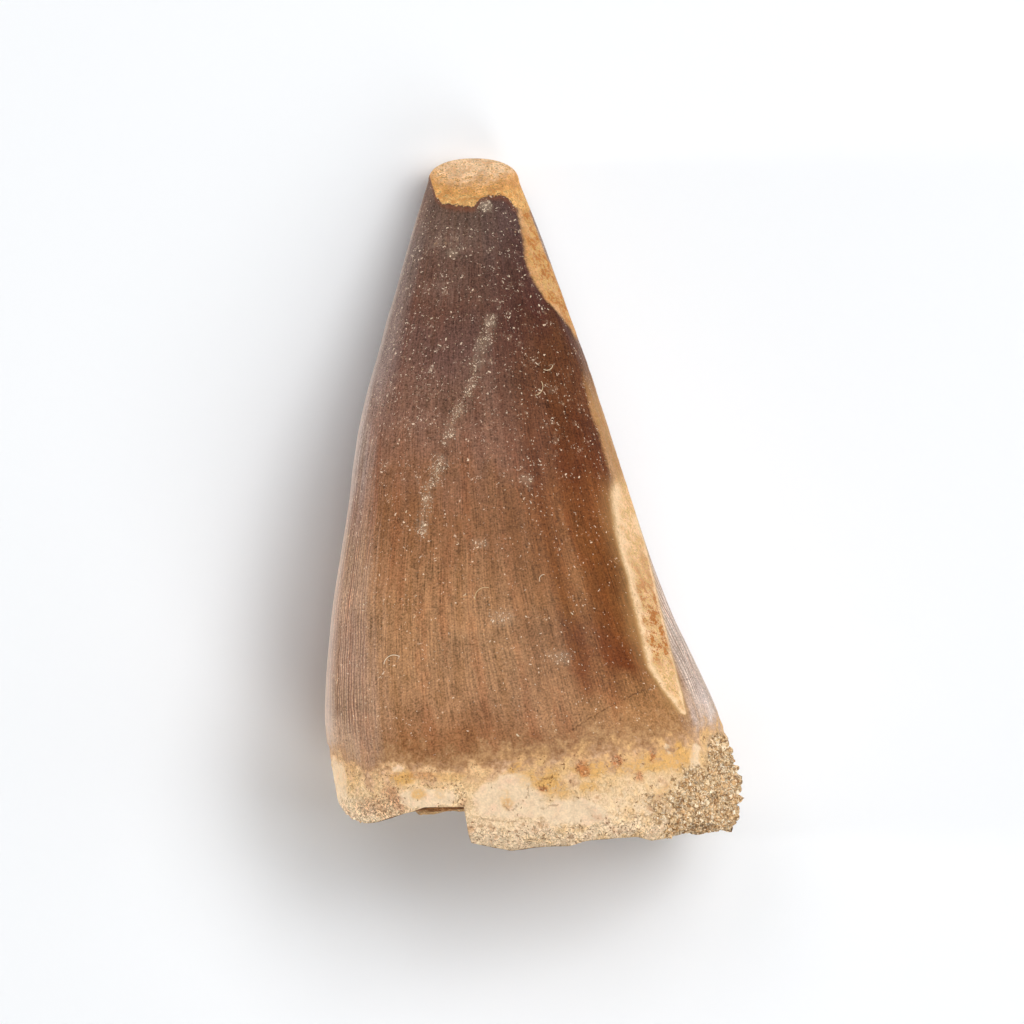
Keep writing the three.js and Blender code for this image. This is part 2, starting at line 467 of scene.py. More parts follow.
@dataclass(frozen=True)
class ToothSurface:
    """The fine surface of the tooth, with the measures that its finish follows."""

    form: ToothForm = ToothForm()
    broken: BrokenEnd = BrokenEnd()
    margin: EnamelEdge = EnamelEdge()
    flank: RidgedFlank = RidgedFlank()
    crust: GritCrust = GritCrust()
    tip_wear: Plane = Plane((-3.7, 18.1, 5.6), (-0.1, 0.74, 0.67))
    columns: int = 544
    rim_rows: int = 18
    collar_rows: int = 30
    crown_rows: int = 76
    shoulder_rows: int = 16
    tip_rows: int = 12
    end_rings: int = 46
    rim_top: float = -17.7
    collar_top: float = -13.4
    shoulder: float = 16.4
    reference_place: float = -8.0
    rim_guess: float = -19.0
    rim_passes: int = 8
    face_degrees: Pair = (48.0, 128.0)
    side_degrees: Pair = (-40.0, 222.0)
    face_spacing: float = 0.155
    side_spacing: float = 0.095
    back_spacing: float = 0.17
    tip_notch: Pair = (-2.1, 18.5)
    tip_notch_depth: float = 0.45
    swells: tuple[Lumps, ...] = (Lumps(0.10, 6.5), Lumps(0.035, 2.2))
    swells_fade: Pair = (20.0, 15.0)
    root_lumps: tuple[Lumps, ...] = (Lumps(0.11, 1.3, 4), Lumps(0.03, 0.3))
    root_waves: tuple[Lumps, ...] = (Lumps(0.3, 1.7), Lumps(0.13, 0.55))
    strip_lumps: Lumps = Lumps(0.025, 0.5, 3)
    strip_waves: Lumps = Lumps(0.1, 1.4)
    tip_lumps: Lumps = Lumps(0.05, 0.6, 4)
    tip_waves: Lumps = Lumps(0.06, 0.7, 3)
    tip_edge_waves: Lumps = Lumps(0.08, 0.6, 3)
    right_of_step: Pair = (-4.6, -3.6)
    left_of_step: Pair = (-3.9, -4.3)
    dust_start: Pair = (-3.0, 7.0)
    dust_end: Pair = (18.5, 16.0)
    tip_margin: Line = (
        (-7.4, 20.5), (-6.4, 20.2), (-6.15, 19.4), (-5.9, 18.7), (-5.5, 18.2), (-4.6, 18.02), (-3.6, 18.05),
        (-3.2, 18.5), (-2.6, 18.75), (-1.9, 18.75), (-1.5, 18.5), (-1.2, 18.0), (0.5, 17.6),
    )
    strip_left: Line = (
        (-13.2, 10.5), (-12.6, 8.9), (-11.9, 8.42), (-10.9, 7.6), (-9.8, 7.0), (-8.0, 6.55), (-5.8, 6.08),
        (-3.4, 5.5), (-1.5, 5.05), (0.8, 4.8), (1.4, 4.78), (2.5, 4.4), (5.0, 3.7), (7.4, 3.02), (9.4, 2.6),
        (10.4, 2.5), (11.2, 1.8), (11.9, 1.3), (12.5, 0.7), (13.5, 0.0), (14.6, -0.4), (16.4, -0.68),
        (18.4, -1.08), (21.0, -1.2),
    )
    strip_right: Line = (
        (-12.6, 9.25), (-11.3, 9.0), (-9.4, 8.45), (-7.3, 7.95), (-4.4, 7.3), (-1.8, 6.6), (-1.2, 9.0),
        (13.7, 9.0), (14.7, 1.0), (16.0, 0.46), (17.2, 0.0), (18.4, -0.4), (19.2, -0.8), (21.0, -0.9),
    )
    strip_low: Line = (
        (-5.0, -8.0), (-3.0, 7.0), (-1.8, 8.0), (0.6, 1.0), (3.0, -8.0), (9.5, -7.0), (12.4, 0.0),
        (13.7, 7.0), (14.8, 8.0), (17.0, -8.0),
    )
    crack_line: Line = (
        (2.4, -13.6), (4.1, -12.5), (6.5, -11.3), (8.4, -10.8), (9.4, -10.6),
    )
    hairlines: tuple[Line, ...] = (
        ((-3.27, -18.92), (-2.36, -19.11), (-1.45, -19.24), (-0.64, -19.0)),
        ((-1.88, -18.1), (-1.52, -18.45), (-1.27, -18.52), (-0.97, -18.15), (-0.55, -17.9), (-0.3, -17.55),
         (-0.36, -16.94)),
        ((0.48, -18.4), (0.9, -18.27), (1.5, -18.15)),
        ((5.27, -19.55), (6.18, -18.9), (8.0, -18.6), (8.67, -18.33)),
        ((0.1, -17.0), (0.55, -16.6), (1.2, -16.5)),
    )
    fleck_line: Line = (
        (-2.4, 11.1), (-3.2, 9.3), (-4.1, 6.3), (-4.7, 5.1), (-5.6, 2.6), (-6.5, 0.2), (-6.7, -1.6),
    )
    noise: LatticeNoise = LatticeNoise(5)

    def column_angles(self) -> tuple[np.ndarray, np.ndarray]:
        """Spaces the lengthwise lines, closest where the ridges run.

        Returns:
            The angle of each line, and how far round the tooth it lies, in millimetres.
        """
        angle = np.linspace(-math.pi / 2, 1.5 * math.pi, 6001)
        ring = self.form.surface(angle, np.full_like(angle, self.reference_place))
        arc = np.concatenate([[0.0], np.cumsum(np.linalg.norm(np.diff(ring, axis=0), axis=-1))])
        degrees = np.degrees(angle)
        spacing = np.full_like(angle, self.face_spacing)
        beyond = ((self.face_degrees, self.side_spacing), (self.side_degrees, self.back_spacing))
        for (right, left), own in beyond:
            spacing[(degrees < right) | (degrees > left)] = own
        steps = np.concatenate([[0.0], np.cumsum(np.diff(arc) / spacing[1:])])
        wanted = np.linspace(0.0, steps[-1], self.columns + 1)
        return np.interp(wanted, steps, angle), np.interp(wanted, steps, arc)

    def held_angles(self, angle: np.ndarray, place: np.ndarray) -> np.ndarray:
        """Bends the lengthwise lines near the step in the broken end so that they run straight.

        Args:
            angle: The angle of each line.
            place: Places along the tooth, on which the lines run.

        Returns:
            The angle of each line at each place.
        """
        start = self.form.surface(angle, np.full_like(angle, self.rim_top))
        x = start[:, 0]
        away = np.abs(x - self.broken.step_place)
        beside = self.broken.step_place + np.sign(x - self.broken.step_place) * 0.04
        x = np.where(away < 0.09, beside, x)
        hold = smooth_step(6.0, 3.0, away) * (np.sin(angle) > 0.3)
        left, right = self.form.section_at(place)[:2]
        cosine = (2 * (x - self.form.centre_shift) - left - right) / (right - left)
        power = self.form.upper_squareness / 2
        bent = np.arccos(np.clip(np.sign(cosine) * np.abs(cosine) ** power, -1.0, 1.0))
        below = smooth_step(self.rim_top + 0.4, self.rim_top, place)
        return angle + (bent - angle) * hold * below

    def rim_places(self, angle: np.ndarray) -> np.ndarray:
        """Finds where each lengthwise line meets the broken end.

        Args:
            angle: The angle of each line.

        Returns:
            Places along the tooth.
        """
        place = np.full_like(angle, self.rim_guess)
        for _ in range(self.rim_passes):
            points = self.form.surface(self.held_angles(angle, place), place)
            place = self.broken.place_at(points[:, 0], self.depth_below_crest(points), 0 * place)
        return place

    def depth_below_crest(self, points: np.ndarray) -> np.ndarray:
        """Measures how far points near the broken end lie under the upper surface.

        Args:
            points: Places near the broken end.

        Returns:
            Depths in millimetres.
        """
        left, right, crest, _, _, _ = self.form.section_at(points[..., 1])
        across = np.clip(2 * (points[..., 0] - left) / (right - left) - 1.0, -1.0, 1.0)
        squareness = self.form.upper_squareness
        arch = (1.0 - np.abs(across) ** squareness) ** (1 / squareness)
        widest = crest * self.form.widest_height
        return widest + (crest - widest) * arch - points[..., 2]

    def row_places(self, rim: np.ndarray) -> np.ndarray:
        """Lays the crosswise rows from the broken rim to the tip.

        Args:
            rim: Where each lengthwise line meets the broken end.

        Returns:
            Places along the tooth, one row of them for each crosswise row.
        """
        share = np.linspace(0.0, 1.0, self.rim_rows, endpoint=False)[:, None]
        rims = rim[None, :] + (self.rim_top - rim[None, :]) * share
        collar = np.linspace(self.rim_top, self.collar_top, self.collar_rows, endpoint=False)
        foot = self.form.sections[-1].place
        crown = np.linspace(self.collar_top, self.shoulder, self.crown_rows, endpoint=False)
        above = np.linspace(self.shoulder, foot, self.shoulder_rows, endpoint=False)
        round_off = np.sin(np.linspace(0.0, math.pi / 2, self.tip_rows, endpoint=False))
        straight = np.concatenate([collar, crown, above, foot + self.form.tip_length * round_off])
        return np.vstack([rims, np.repeat(straight[:, None], len(rim), axis=1)])

    @staticmethod
    def outward(points: np.ndarray) -> np.ndarray:
        """Finds the outward direction at each point of a grid of rows round the tooth.

        Args:
            points: The grid, rows first.

        Returns:
            Unit directions.
        """
        along = np.gradient(points, axis=0)
        around = np.roll(points, -1, axis=1) - np.roll(points, 1, axis=1)
        normal = np.cross(along, around)
        return normal / np.maximum(np.linalg.norm(normal, axis=-1, keepdims=True), 1e-9)

    @staticmethod
    def side_of_line(points: np.ndarray, line: Line) -> np.ndarray:
        """Measures from above how far points lie from a line, with a sign for the side.

        Args:
            points: Places on the surface.
            line: The line's corners, as x and y.

        Returns:
            Distances in millimetres, never beyond FAR.
        """
        flat = points[..., :2]
        nearest = np.full(flat.shape[:-1], FAR)
        signed = nearest.copy()
        for start, end in zip(np.array(line[:-1]), np.array(line[1:])):
            run = end - start
            share = np.clip((flat - start) @ run / (run @ run), 0.0, 1.0)
            gap = flat - start - share[..., None] * run
            far = np.linalg.norm(gap, axis=-1)
            side = np.sign(run[0] * gap[..., 1] - run[1] * gap[..., 0])
            closer = far < nearest
            nearest = np.where(closer, far, nearest)
            signed = np.where(closer, np.where(side == 0, 1.0, side) * far, signed)
        return signed

    def strip_depth(self, points: np.ndarray, angles: np.ndarray) -> np.ndarray:
        """Measures how far inside the bare strip of the worn cutting edge each point lies.

        Args:
            points: Places on the surface.
            angles: Their angles, up from the right edge.

        Returns:
            Distances in millimetres, negative outside.
        """
        x, y = points[..., 0], points[..., 1]
        turned = np.mod(angles + math.pi, TURN) - math.pi
        above = (turned - np.radians(read_line(self.strip_low, y))) * 4.0
        inside = np.minimum(x - read_line(self.strip_left, y), 3.0 * (read_line(self.strip_right, y) - x))
        return np.maximum(np.minimum(inside, above), -FAR)

    def tip_depth(self, points: np.ndarray) -> np.ndarray:
        """Measures how far above the lower edge of the worn tip each point lies.

        Args:
            points: Places on the surface.

        Returns:
            Distances in millimetres, negative below the edge.
        """
        margin = read_line(self.tip_margin, points[..., 0])
        under = smooth_step(3.0, 1.4, points[..., 2])
        return points[..., 1] - margin - 0.8 * under + self.tip_edge_waves.at(points, self.noise)

    def settled_dust(self, points: np.ndarray, measures: dict[str, np.ndarray]) -> np.ndarray:
        """Works out how thickly dust lies on the enamel.

        Args:
            points: Places on the surface.
            measures: The surface's measures.

        Returns:
            The amount, 1 where it is thick.
        """
        noise = self.noise
        y = points[..., 1]
        upper = 0.2 + 0.8 * smooth_step(*self.dust_start, y) * smooth_step(*self.dust_end, y)
        patchy = smooth_step(-0.45, 0.5, noise.fractal(points / 1.6 + 3.0, 4))
        trail = smooth_step(0.42, 0.1, np.abs(measures["trail"]) + 0.2 * noise.at(points / 0.4))
        clumps = smooth_step(-0.1, 0.3, noise.fractal(points / 0.55 + 8.0, 3))
        facing_up = smooth_step(4.0, 9.0, points[..., 2] + 0.35 * np.maximum(y, 0.0))
        clean = smooth_step(-1.0, -0.2, measures["root"]) + smooth_step(0.0, 0.2, measures["strip"])
        return (upper * patchy + 14.0 * trail * clumps) * facing_up * np.clip(1.0 - 0.85 * clean, 0.0, 1.0)

    def relief(self, points: np.ndarray, measures: dict[str, np.ndarray], ridge: np.ndarray) -> np.ndarray:
        """Works out how far the surface stands out from the smooth form.

        Args:
            points: Places on the smooth form.
            measures: The surface's measures so far.
            ridge: The wave of the fine ridges, from -1 to 1.

        Returns:
            Heights in millimetres.
        """
        noise = self.noise
        x, z = points[..., 0], points[..., 2]
        on_root = smooth_step(-0.12, 0.2, measures["root"])
        on_flank = smooth_step(-5.0, 4.0, measures["ridged"]) * (1.0 - on_root)
        on_strip = smooth_step(-0.05, 0.12, measures["strip"])
        fade = 0.25 + 0.75 * smooth_step(*self.flank.fade, measures["along"])
        height = sum(lumps.at(points, noise) for lumps in self.swells)
        height = height * smooth_step(*self.swells_fade, measures["along"])
        height += ridge * (self.flank.worn_height + (self.flank.height * fade) * on_flank) * (1 - on_root)
        height -= self.margin.step * on_root
        height += on_root * sum(lumps.at(points, noise) for lumps in self.root_lumps)
        knobs = np.abs(noise.fractal(points / self.crust.lump, 3))
        height += measures["crust"] * self.crust.thickness * (knobs - 0.55)
        height += on_strip * self.strip_lumps.at(points, noise)
        facing_up = smooth_step(6.0, 9.0, z)
        top_right = smooth_step(*self.right_of_step, x) * facing_up
        top_left = smooth_step(*self.left_of_step, x) * facing_up
        rounded = 0.16 * smooth_step(0.5, 0.0, measures["rimgap"])
        rounded += 0.3 * top_right * smooth_step(1.5, 0.0, measures["rimgap"]) ** 1.5
        return height - rounded * (1.0 - 0.85 * top_left)

    def wear_tip(self, points: np.ndarray, normal: np.ndarray, place: np.ndarray) -> np.ndarray:
        """Wears the tip down to its slanting face, and keeps everything above the floor.

        Args:
            points: Places on the surface.
            normal: The outward directions there.
            place: Places along the tooth, before the relief.

        Returns:
            The worn places.
        """
        proud = self.tip_wear.height_of(points)
        notch = np.hypot(points[..., 0] - self.tip_notch[0], points[..., 1] - self.tip_notch[1])
        proud = proud - self.tip_notch_depth * smooth_step(0.9, 0.0, notch)
        proud = proud + self.tip_waves.at(points, self.noise)
        points = self.tip_wear.press(points, proud, 0.05)
        on_tip = smooth_step(0.0, 0.15, proud) * smooth_step(20.7, 20.2, place)
        points = points + normal * (on_tip * self.tip_lumps.at(points, self.noise))[..., None]
        points[..., 2] = np.maximum(points[..., 2], 0.0)
        return points

    def build(self) -> "ShapedTooth":
        """Shapes the whole surface.

        Returns:
            The grid of the flank with its tip and its measures.
        """
        angle, arc = self.column_angles()
        girth = arc[-1]
        angle, arc = angle[:-1], arc[:-1]
        rim = self.rim_places(angle)
        place = self.row_places(rim)
        angles = self.held_angles(angle, place)
        points = self.form.surface(angles, place)
        left, right, _, low = self.form.section_at(place)[:4]
        normal = self.outward(points)
        noise = self.noise

        slow = noise.at(points * np.array([0.3, 0.1, 0.3]))
        quick = noise.at(points * np.array([1.6, 0.35, 1.6]))
        thread = np.broadcast_to(arc, place.shape) + 0.16 * slow + 0.05 * quick
        pitch = girth / round(girth / self.flank.pitch)
        root = self.margin.place_at(angles) - place
        measures = {
            "along": place,
            "ridged": self.flank.depth_at(angles, place, low),
            "root": sum((waves.at(points, noise) for waves in self.root_waves), root),
            "strip": self.strip_depth(points, angles) + self.strip_waves.at(points, noise),
            "crust": self.crust.amount_at(points, noise),
            "rimgap": place - rim[None, :],
        }
        height = self.relief(points, measures, np.cos(TURN * thread / pitch))
        points = self.wear_tip(points + normal * height[..., None], normal, place)

        measures |= {
            "across": (2 * points[..., 0] - right - left) / np.maximum(right - left, 1.0),
            "tipwear": self.tip_depth(points),
            "crack": self.side_of_line(points, self.crack_line),
            "trail": self.side_of_line(points, self.fleck_line),
            "hairline": np.min([np.abs(self.side_of_line(points, line)) for line in self.hairlines], axis=0),
            "grit": smooth_step(0.3, 0.8, measures["crust"]),
        }
        measures["settled"] = self.settled_dust(points, measures)
        middle = (points[-1].min(axis=0) + points[-1].max(axis=0)) / 2
        foot = self.form.sections[-1].place + self.form.tip_length
        threads = np.hstack([thread, thread[:, :1] + girth])
        return ShapedTooth(self, points, np.array([middle[0], foot, middle[2]]), threads, measures)


@dataclass
class Patch:
    """Faces, with the places of their corners on the two maps."""

    faces: np.ndarray
    grain: np.ndarray
    bake: np.ndarray


@dataclass
class ShapedTooth:
    """A shaped surface on its way to a mesh."""

    maker: ToothSurface
    flank: np.ndarray
    tip: np.ndarray
    thread: np.ndarray
    measures: dict[str, np.ndarray]
    middle: Pair = (0.2, 8.0)
    thinning: tuple[tuple[float, int], ...] = ((0.78, 1), (0.42, 2), (0.17, 4), (-1.0, 8))

    def end_rings(self) -> list[np.ndarray]:
        """Lays rings of points over the broken end, fewer points in each towards the middle.

        Returns:
            The rings, from the outside in, and a single point last.
        """
        rim = self.flank[0]
        centre = np.array([self.middle[0], 0.0, self.middle[1]])
        rings = []
        for reach in np.linspace(1.0, 0.0, self.maker.end_rings + 1)[1:]:
            share = next(share for above, share in self.thinning if reach > above)
            edge = rim[::share] if reach > 1e-6 else rim[:1]
            ring = centre + (edge - centre) * reach
            under = self.maker.depth_below_crest(np.stack([ring[:, 0], edge[:, 1], ring[:, 2]], axis=-1))
            inward = np.full(len(edge), 1.0 - reach)
            place = self.maker.broken.place_at(ring[:, 0], under, inward)
            own = smooth_step(1.0, 0.93, np.full(len(edge), reach))
            ring[:, 1] = edge[:, 1] * (1.0 - own) + place * own
            rings.append(ring)
        return rings

    def flank_patches(self) -> list[Patch]:
        """Makes the faces of the flank and of the tip.

        Returns:
            The faces with four corners, then those with three.
        """
        rows, columns, _ = self.flank.shape
        lengths = np.linalg.norm(np.diff(self.flank, axis=0), axis=-1).mean(axis=1)
        climb = np.concatenate([[0.0], np.cumsum(lengths)])
        whole = climb[-1] + np.linalg.norm(self.flank[-1] - self.tip, axis=-1).mean()
        up = np.broadcast_to(climb[:, None] / whole, (rows, columns + 1))
        along = np.hstack([self.measures["along"], self.measures["along"][:, :1]])
        around = np.broadcast_to(np.linspace(0.0, 1.0, columns + 1), (rows, columns + 1))
        grain = np.stack([self.thread, along], axis=-1)
        # The flank fills the upper part of the bake map, and the broken end its lower left corner.
        bake = np.stack([0.005 + 0.99 * around, 0.30 + 0.69 * up], axis=-1)
        index = np.arange(rows * columns).reshape(rows, columns)
        index = np.hstack([index, index[:, :1]])
        corners = (np.s_[:-1, :-1], np.s_[1:, :-1], np.s_[1:, 1:], np.s_[:-1, 1:])
        quads = Patch(
            np.stack([index[c] for c in corners], axis=-1).reshape(-1, 4),
            np.stack([grain[c] for c in corners], axis=2).reshape(-1, 4, 2),
            np.stack([bake[c] for c in corners], axis=2).reshape(-1, 4, 2),
        )
        pole = np.full(columns, rows * columns)
        top_grain = (grain[-1, :-1] + grain[-1, 1:]) / 2
        top_bake = np.stack([(bake[-1, :-1, 0] + bake[-1, 1:, 0]) / 2, np.full(columns, 0.99)], axis=-1)
        fan = Patch(
            np.stack([index[-1, :-1], pole, index[-1, 1:]], axis=-1),
            np.stack([grain[-1, :-1], top_grain, grain[-1, 1:]], axis=1),
            np.stack([bake[-1, :-1], top_bake, bake[-1, 1:]], axis=1),
        )
        return [quads, fan]

    def end_patch(self, rings: list[np.ndarray], points: np.ndarray) -> Patch:
        """Makes the faces of the broken end.

        Args:
            rings: The rings, from the outside in.
            points: All the points of the mesh so far, with the rings' points last.

        Returns:
            The faces, all with three corners.
        """
        outer = np.arange(self.flank.shape[1])
        start = self.flank.shape[0] * self.flank.shape[1] + 1
        faces = []
        for ring in rings:
            inner = np.arange(start, start + len(ring))
            start += len(ring)
            after = np.roll(outer, -1)
            follow = np.roll(inner, -1)
            if len(inner) == 1:
                strips = [(outer, after, np.full_like(outer, inner[0]))]
            elif len(inner) == len(outer):
                strips = [(outer, after, follow), (outer, follow, inner)]
            else:
                middle = after[::2]
                beyond = np.roll(outer, -2)[::2]
                strips = [(outer[::2], middle, inner), (middle, follow, inner), (middle, beyond, follow)]
            faces.extend(np.stack(strip, axis=-1) for strip in strips)
            outer = inner
        joined = np.concatenate(faces)
        flat = points[:, [0, 2]]
        rim = flat[:self.flank.shape[1]]
        low, high = rim.min(axis=0), rim.max(axis=0)
        bake = 0.01 + (flat - low) / (high - low) * np.array([0.39, 0.27])
        return Patch(joined, flat[joined], bake[joined])

    def end_measures(self, ring_points: np.ndarray) -> dict[str, np.ndarray]:
        """Gives the points of the broken end the same measures as the flank has.

        Args:
            ring_points: The points of all the rings.

        Returns:
            The measures by name.
        """
        count = len(ring_points)
        rim = self.flank[0]
        gaps = [np.hypot(*(rim[:, [0, 2]] - point[[0, 2]]).T).min() for point in ring_points]
        crust = self.maker.crust.amount_at(ring_points, self.maker.noise)
        outside = {name: np.full(count, -FAR) for name in ("ridged", "strip", "tipwear")}
        far_off = {name: np.full(count, FAR) for name in ("crack", "trail", "hairline")}
        return outside | far_off | {
            "along": ring_points[:, 1],
            "across": ring_points[:, 0] / 12.0,
            "root": np.full(count, 6.0),
            "crust": crust,
            "grit": smooth_step(0.3, 0.8, crust),
            "settled": np.zeros(count),
            "rimgap": -np.array(gaps),
        }

    def to_mesh(self, name: str) -> bpy.types.Mesh:
        """Joins everything into one closed mesh.

        Args:
            name: The mesh's name.

        Returns:
            The mesh, with its maps and its measures.
        """
        rings = self.end_rings()
        ring_points = np.concatenate(rings)
        points = np.vstack([self.flank.reshape(-1, 3), self.tip[None, :], ring_points])
        patches = [*self.flank_patches(), self.end_patch(rings, points)]
        faces = [face for patch in patches for face in patch.faces.tolist()]
        mesh = bpy.data.meshes.new(name)
        mesh.from_pydata((points * MM).tolist(), [], faces)
        mesh.polygons.foreach_set("use_smooth", np.ones(len(faces), dtype=bool))
        for label, part in (("Grain", "grain"), ("OFBake", "bake")):
            corners = np.concatenate([getattr(patch, part).ravel() for patch in patches])
            mesh.uv_layers.new(name=label).data.foreach_set("uv", corners)
        end = self.end_measures(ring_points)
        values = {
            label: np.concatenate([grid.ravel(), [grid[-1].mean()], end[label]])
            for label, grid in self.measures.items()
        }
        for label, spots in BLOTCHES.items():
            amounts = [Blotch(*spot).amount_at(points, self.maker.noise) for spot in spots]
            values[label] = np.max(amounts, axis=0)
        for label, numbers in values.items():
            mesh.attributes.new(label, "FLOAT", "POINT").data.foreach_set("value", numbers)
        mesh.validate()
        mesh.update()
        return mesh


@dataclass(frozen=True)
class Blotch:
    """One stained place on the upper surface, in millimetres, with its turn in degrees."""

    x: float
    y: float
    wide: float
    tall: float
    turn: float = 0.0
    strength: float = 1.0

    def amount_at(self, points: np.ndarray, noise: LatticeNoise) -> np.ndarray:
        """Measures how strongly the place is stained.

        Args:
            points: Places on the tooth.
            noise: Breaks up the stain's outline.

        Returns:
            The amount, from 0 to the stain's strength.
        """
        angle = math.radians(self.turn)
        x, y = points[:, 0] - self.x, points[:, 1] - self.y
        u = x * math.cos(angle) + y * math.sin(angle)
        v = y * math.cos(angle) - x * math.sin(angle)
        ragged = 0.35 * noise.fractal(points / (0.5 * (self.wide + self.tall)) + self.x, 4)
        inside = smooth_step(1.25, 0.55, np.hypot(u / self.wide, v / self.tall) + ragged)
        return self.strength * inside * smooth_step(1.0, 4.0, points[:, 2])


BLOTCHES: dict[str, tuple[tuple[float, ...], ...]] = {
    "amber": (
        (-7.9, -16.6, 0.8, 0.42), (-6.9, -17.55, 0.6, 0.4, 15, 0.9), (-5.6, -16.5, 1.6, 0.3, 0, 0.5),
        (0.9, -16.9, 1.5, 0.95, -25), (-5.6, -17.5, 0.35, 0.4, 0, 0.4), (3.3, -17.1, 0.6, 0.3, 0, 0.8),
        (6.8, -15.7, 3.0, 0.7, 8, 0.9), (8.75, -14.75, 0.4, 0.4), (8.0, -17.7, 0.9, 0.8, 0, 0.6),
        (-1.1, -15.9, 0.5, 0.3), (3.6, -16.0, 1.6, 0.5, 10, 0.9), (-1.55, -17.95, 0.42, 0.55, 0, 0.75),
        (-11.2, -16.6, 0.8, 0.8, 0, 0.3),
    ),
    "rust": (
        (3.0, -15.9, 0.5, 0.55, 0, 0.9), (5.03, -15.55, 0.36, 0.42), (7.18, -15.1, 0.2, 0.42),
        (6.4, -16.4, 0.27, 0.42, 0, 0.8), (7.4, -18.3, 0.45, 0.42), (0.6, -17.2, 0.25, 0.14),
        (3.9, -18.9, 0.6, 0.2, 0, 0.4), (-1.5, -18.15, 0.3, 0.3, 0, 0.35),
        (-8.36, -17.8, 1.0, 0.5, -45, 0.65), (-9.6, -18.3, 1.0, 0.6, 0, 0.4),
        (-6.9, -16.4, 1.2, 0.2, 0, 0.4),
    ),
    "cream": (
        (-6.1, -17.75, 1.9, 0.66), (-1.2, -17.9, 2.3, 1.15), (1.5, -18.6, 2.6, 0.8),
        (-1.3, -17.0, 1.2, 0.8), (8.06, -14.7, 0.18, 0.18), (8.2, -15.1, 0.15, 0.15),
        (-8.2, -16.0, 0.3, 0.22), (9.8, -15.7, 0.35, 1.3, 0, 0.8), (8.9, -12.7, 0.6, 0.7, 20, 0.8),
        (-11.9, -16.7, 0.6, 1.6, 8, 0.75),
    ),
    "dust": (
        (-2.9, 18.1, 0.5, 0.42), (-4.9, 15.1, 0.42, 0.22, 0, 0.9), (-0.5, 1.4, 0.6, 0.3, 10, 0.7),
        (-3.3, -2.4, 0.5, 0.3, 0, 0.6), (-1.7, -6.9, 0.7, 0.5, 0, 0.5), (1.6, -9.2, 0.7, 0.4, 0, 0.6),
        (-2.6, 11.0, 0.35, 0.4), (-3.0, 9.6, 0.8, 0.5, 40, 0.6),
    ),
}


def tone(colour: Tint) -> tuple[float, float, float, float]:
    """Turns a screen colour of 0 to 255 into the linear colour that shaders use."""
    shares = (part / 255 for part in colour)
    return (*(c / 12.92 if c <= 0.04045 else ((c + 0.055) / 1.055) ** 2.4 for c in shares), 1.0)


class Blend(Enum):
    """The ways that one colour is laid over another."""

    OVER = "MIX"
    SHADE = "MULTIPLY"


@dataclass(frozen=True)
class Wire:
    """A value in a node tree, which adds and multiplies as a plain number does."""

    graph: "Graph"
    socket: bpy.types.NodeSocket

    def __add__(self, other: "Value") -> "Wire":
        """Adds."""
        return self.graph.maths("ADD", self, other)

    def __mul__(self, other: "Value") -> "Wire":
        """Multiplies."""
        return self.graph.maths("MULTIPLY", self, other)

    def __sub__(self, other: "Value") -> "Wire":
        """Takes away."""
        return self.graph.maths("SUBTRACT", self, other)

    def __rsub__(self, other: "Value") -> "Wire":
        """Takes this one away from a number."""
        return self.graph.maths("SUBTRACT", other, self)

    def __truediv__(self, other: "Value") -> "Wire":
        """Divides."""
        return self.graph.maths("DIVIDE", self, other)

    def __pow__(self, power: float) -> "Wire":
        """Raises to a power."""
        return self.graph.maths("POWER", self, power)

    def __abs__(self) -> "Wire":
        """Drops the sign."""
        return self.graph.maths("ABSOLUTE", self)

    __radd__ = __add__
    __rmul__ = __mul__

    def step(self, low: float, high: float) -> "Wire":
        """Eases from 0 at low to 1 at high.

        Args:
            low: Where the result leaves 0. It may be above high, for a falling step.
            high: Where the result reaches 1.

        Returns:
            The eased number.
        """
        ends = {1: low, 2: high, 3: 0.0, 4: 1.0} if low < high else {1: high, 2: low, 3: 1.0, 4: 0.0}
        return self.graph.get("ShaderNodeMapRange", {0: self, **ends}, interpolation_type="SMOOTHSTEP")


Value = Wire | float | str | tuple


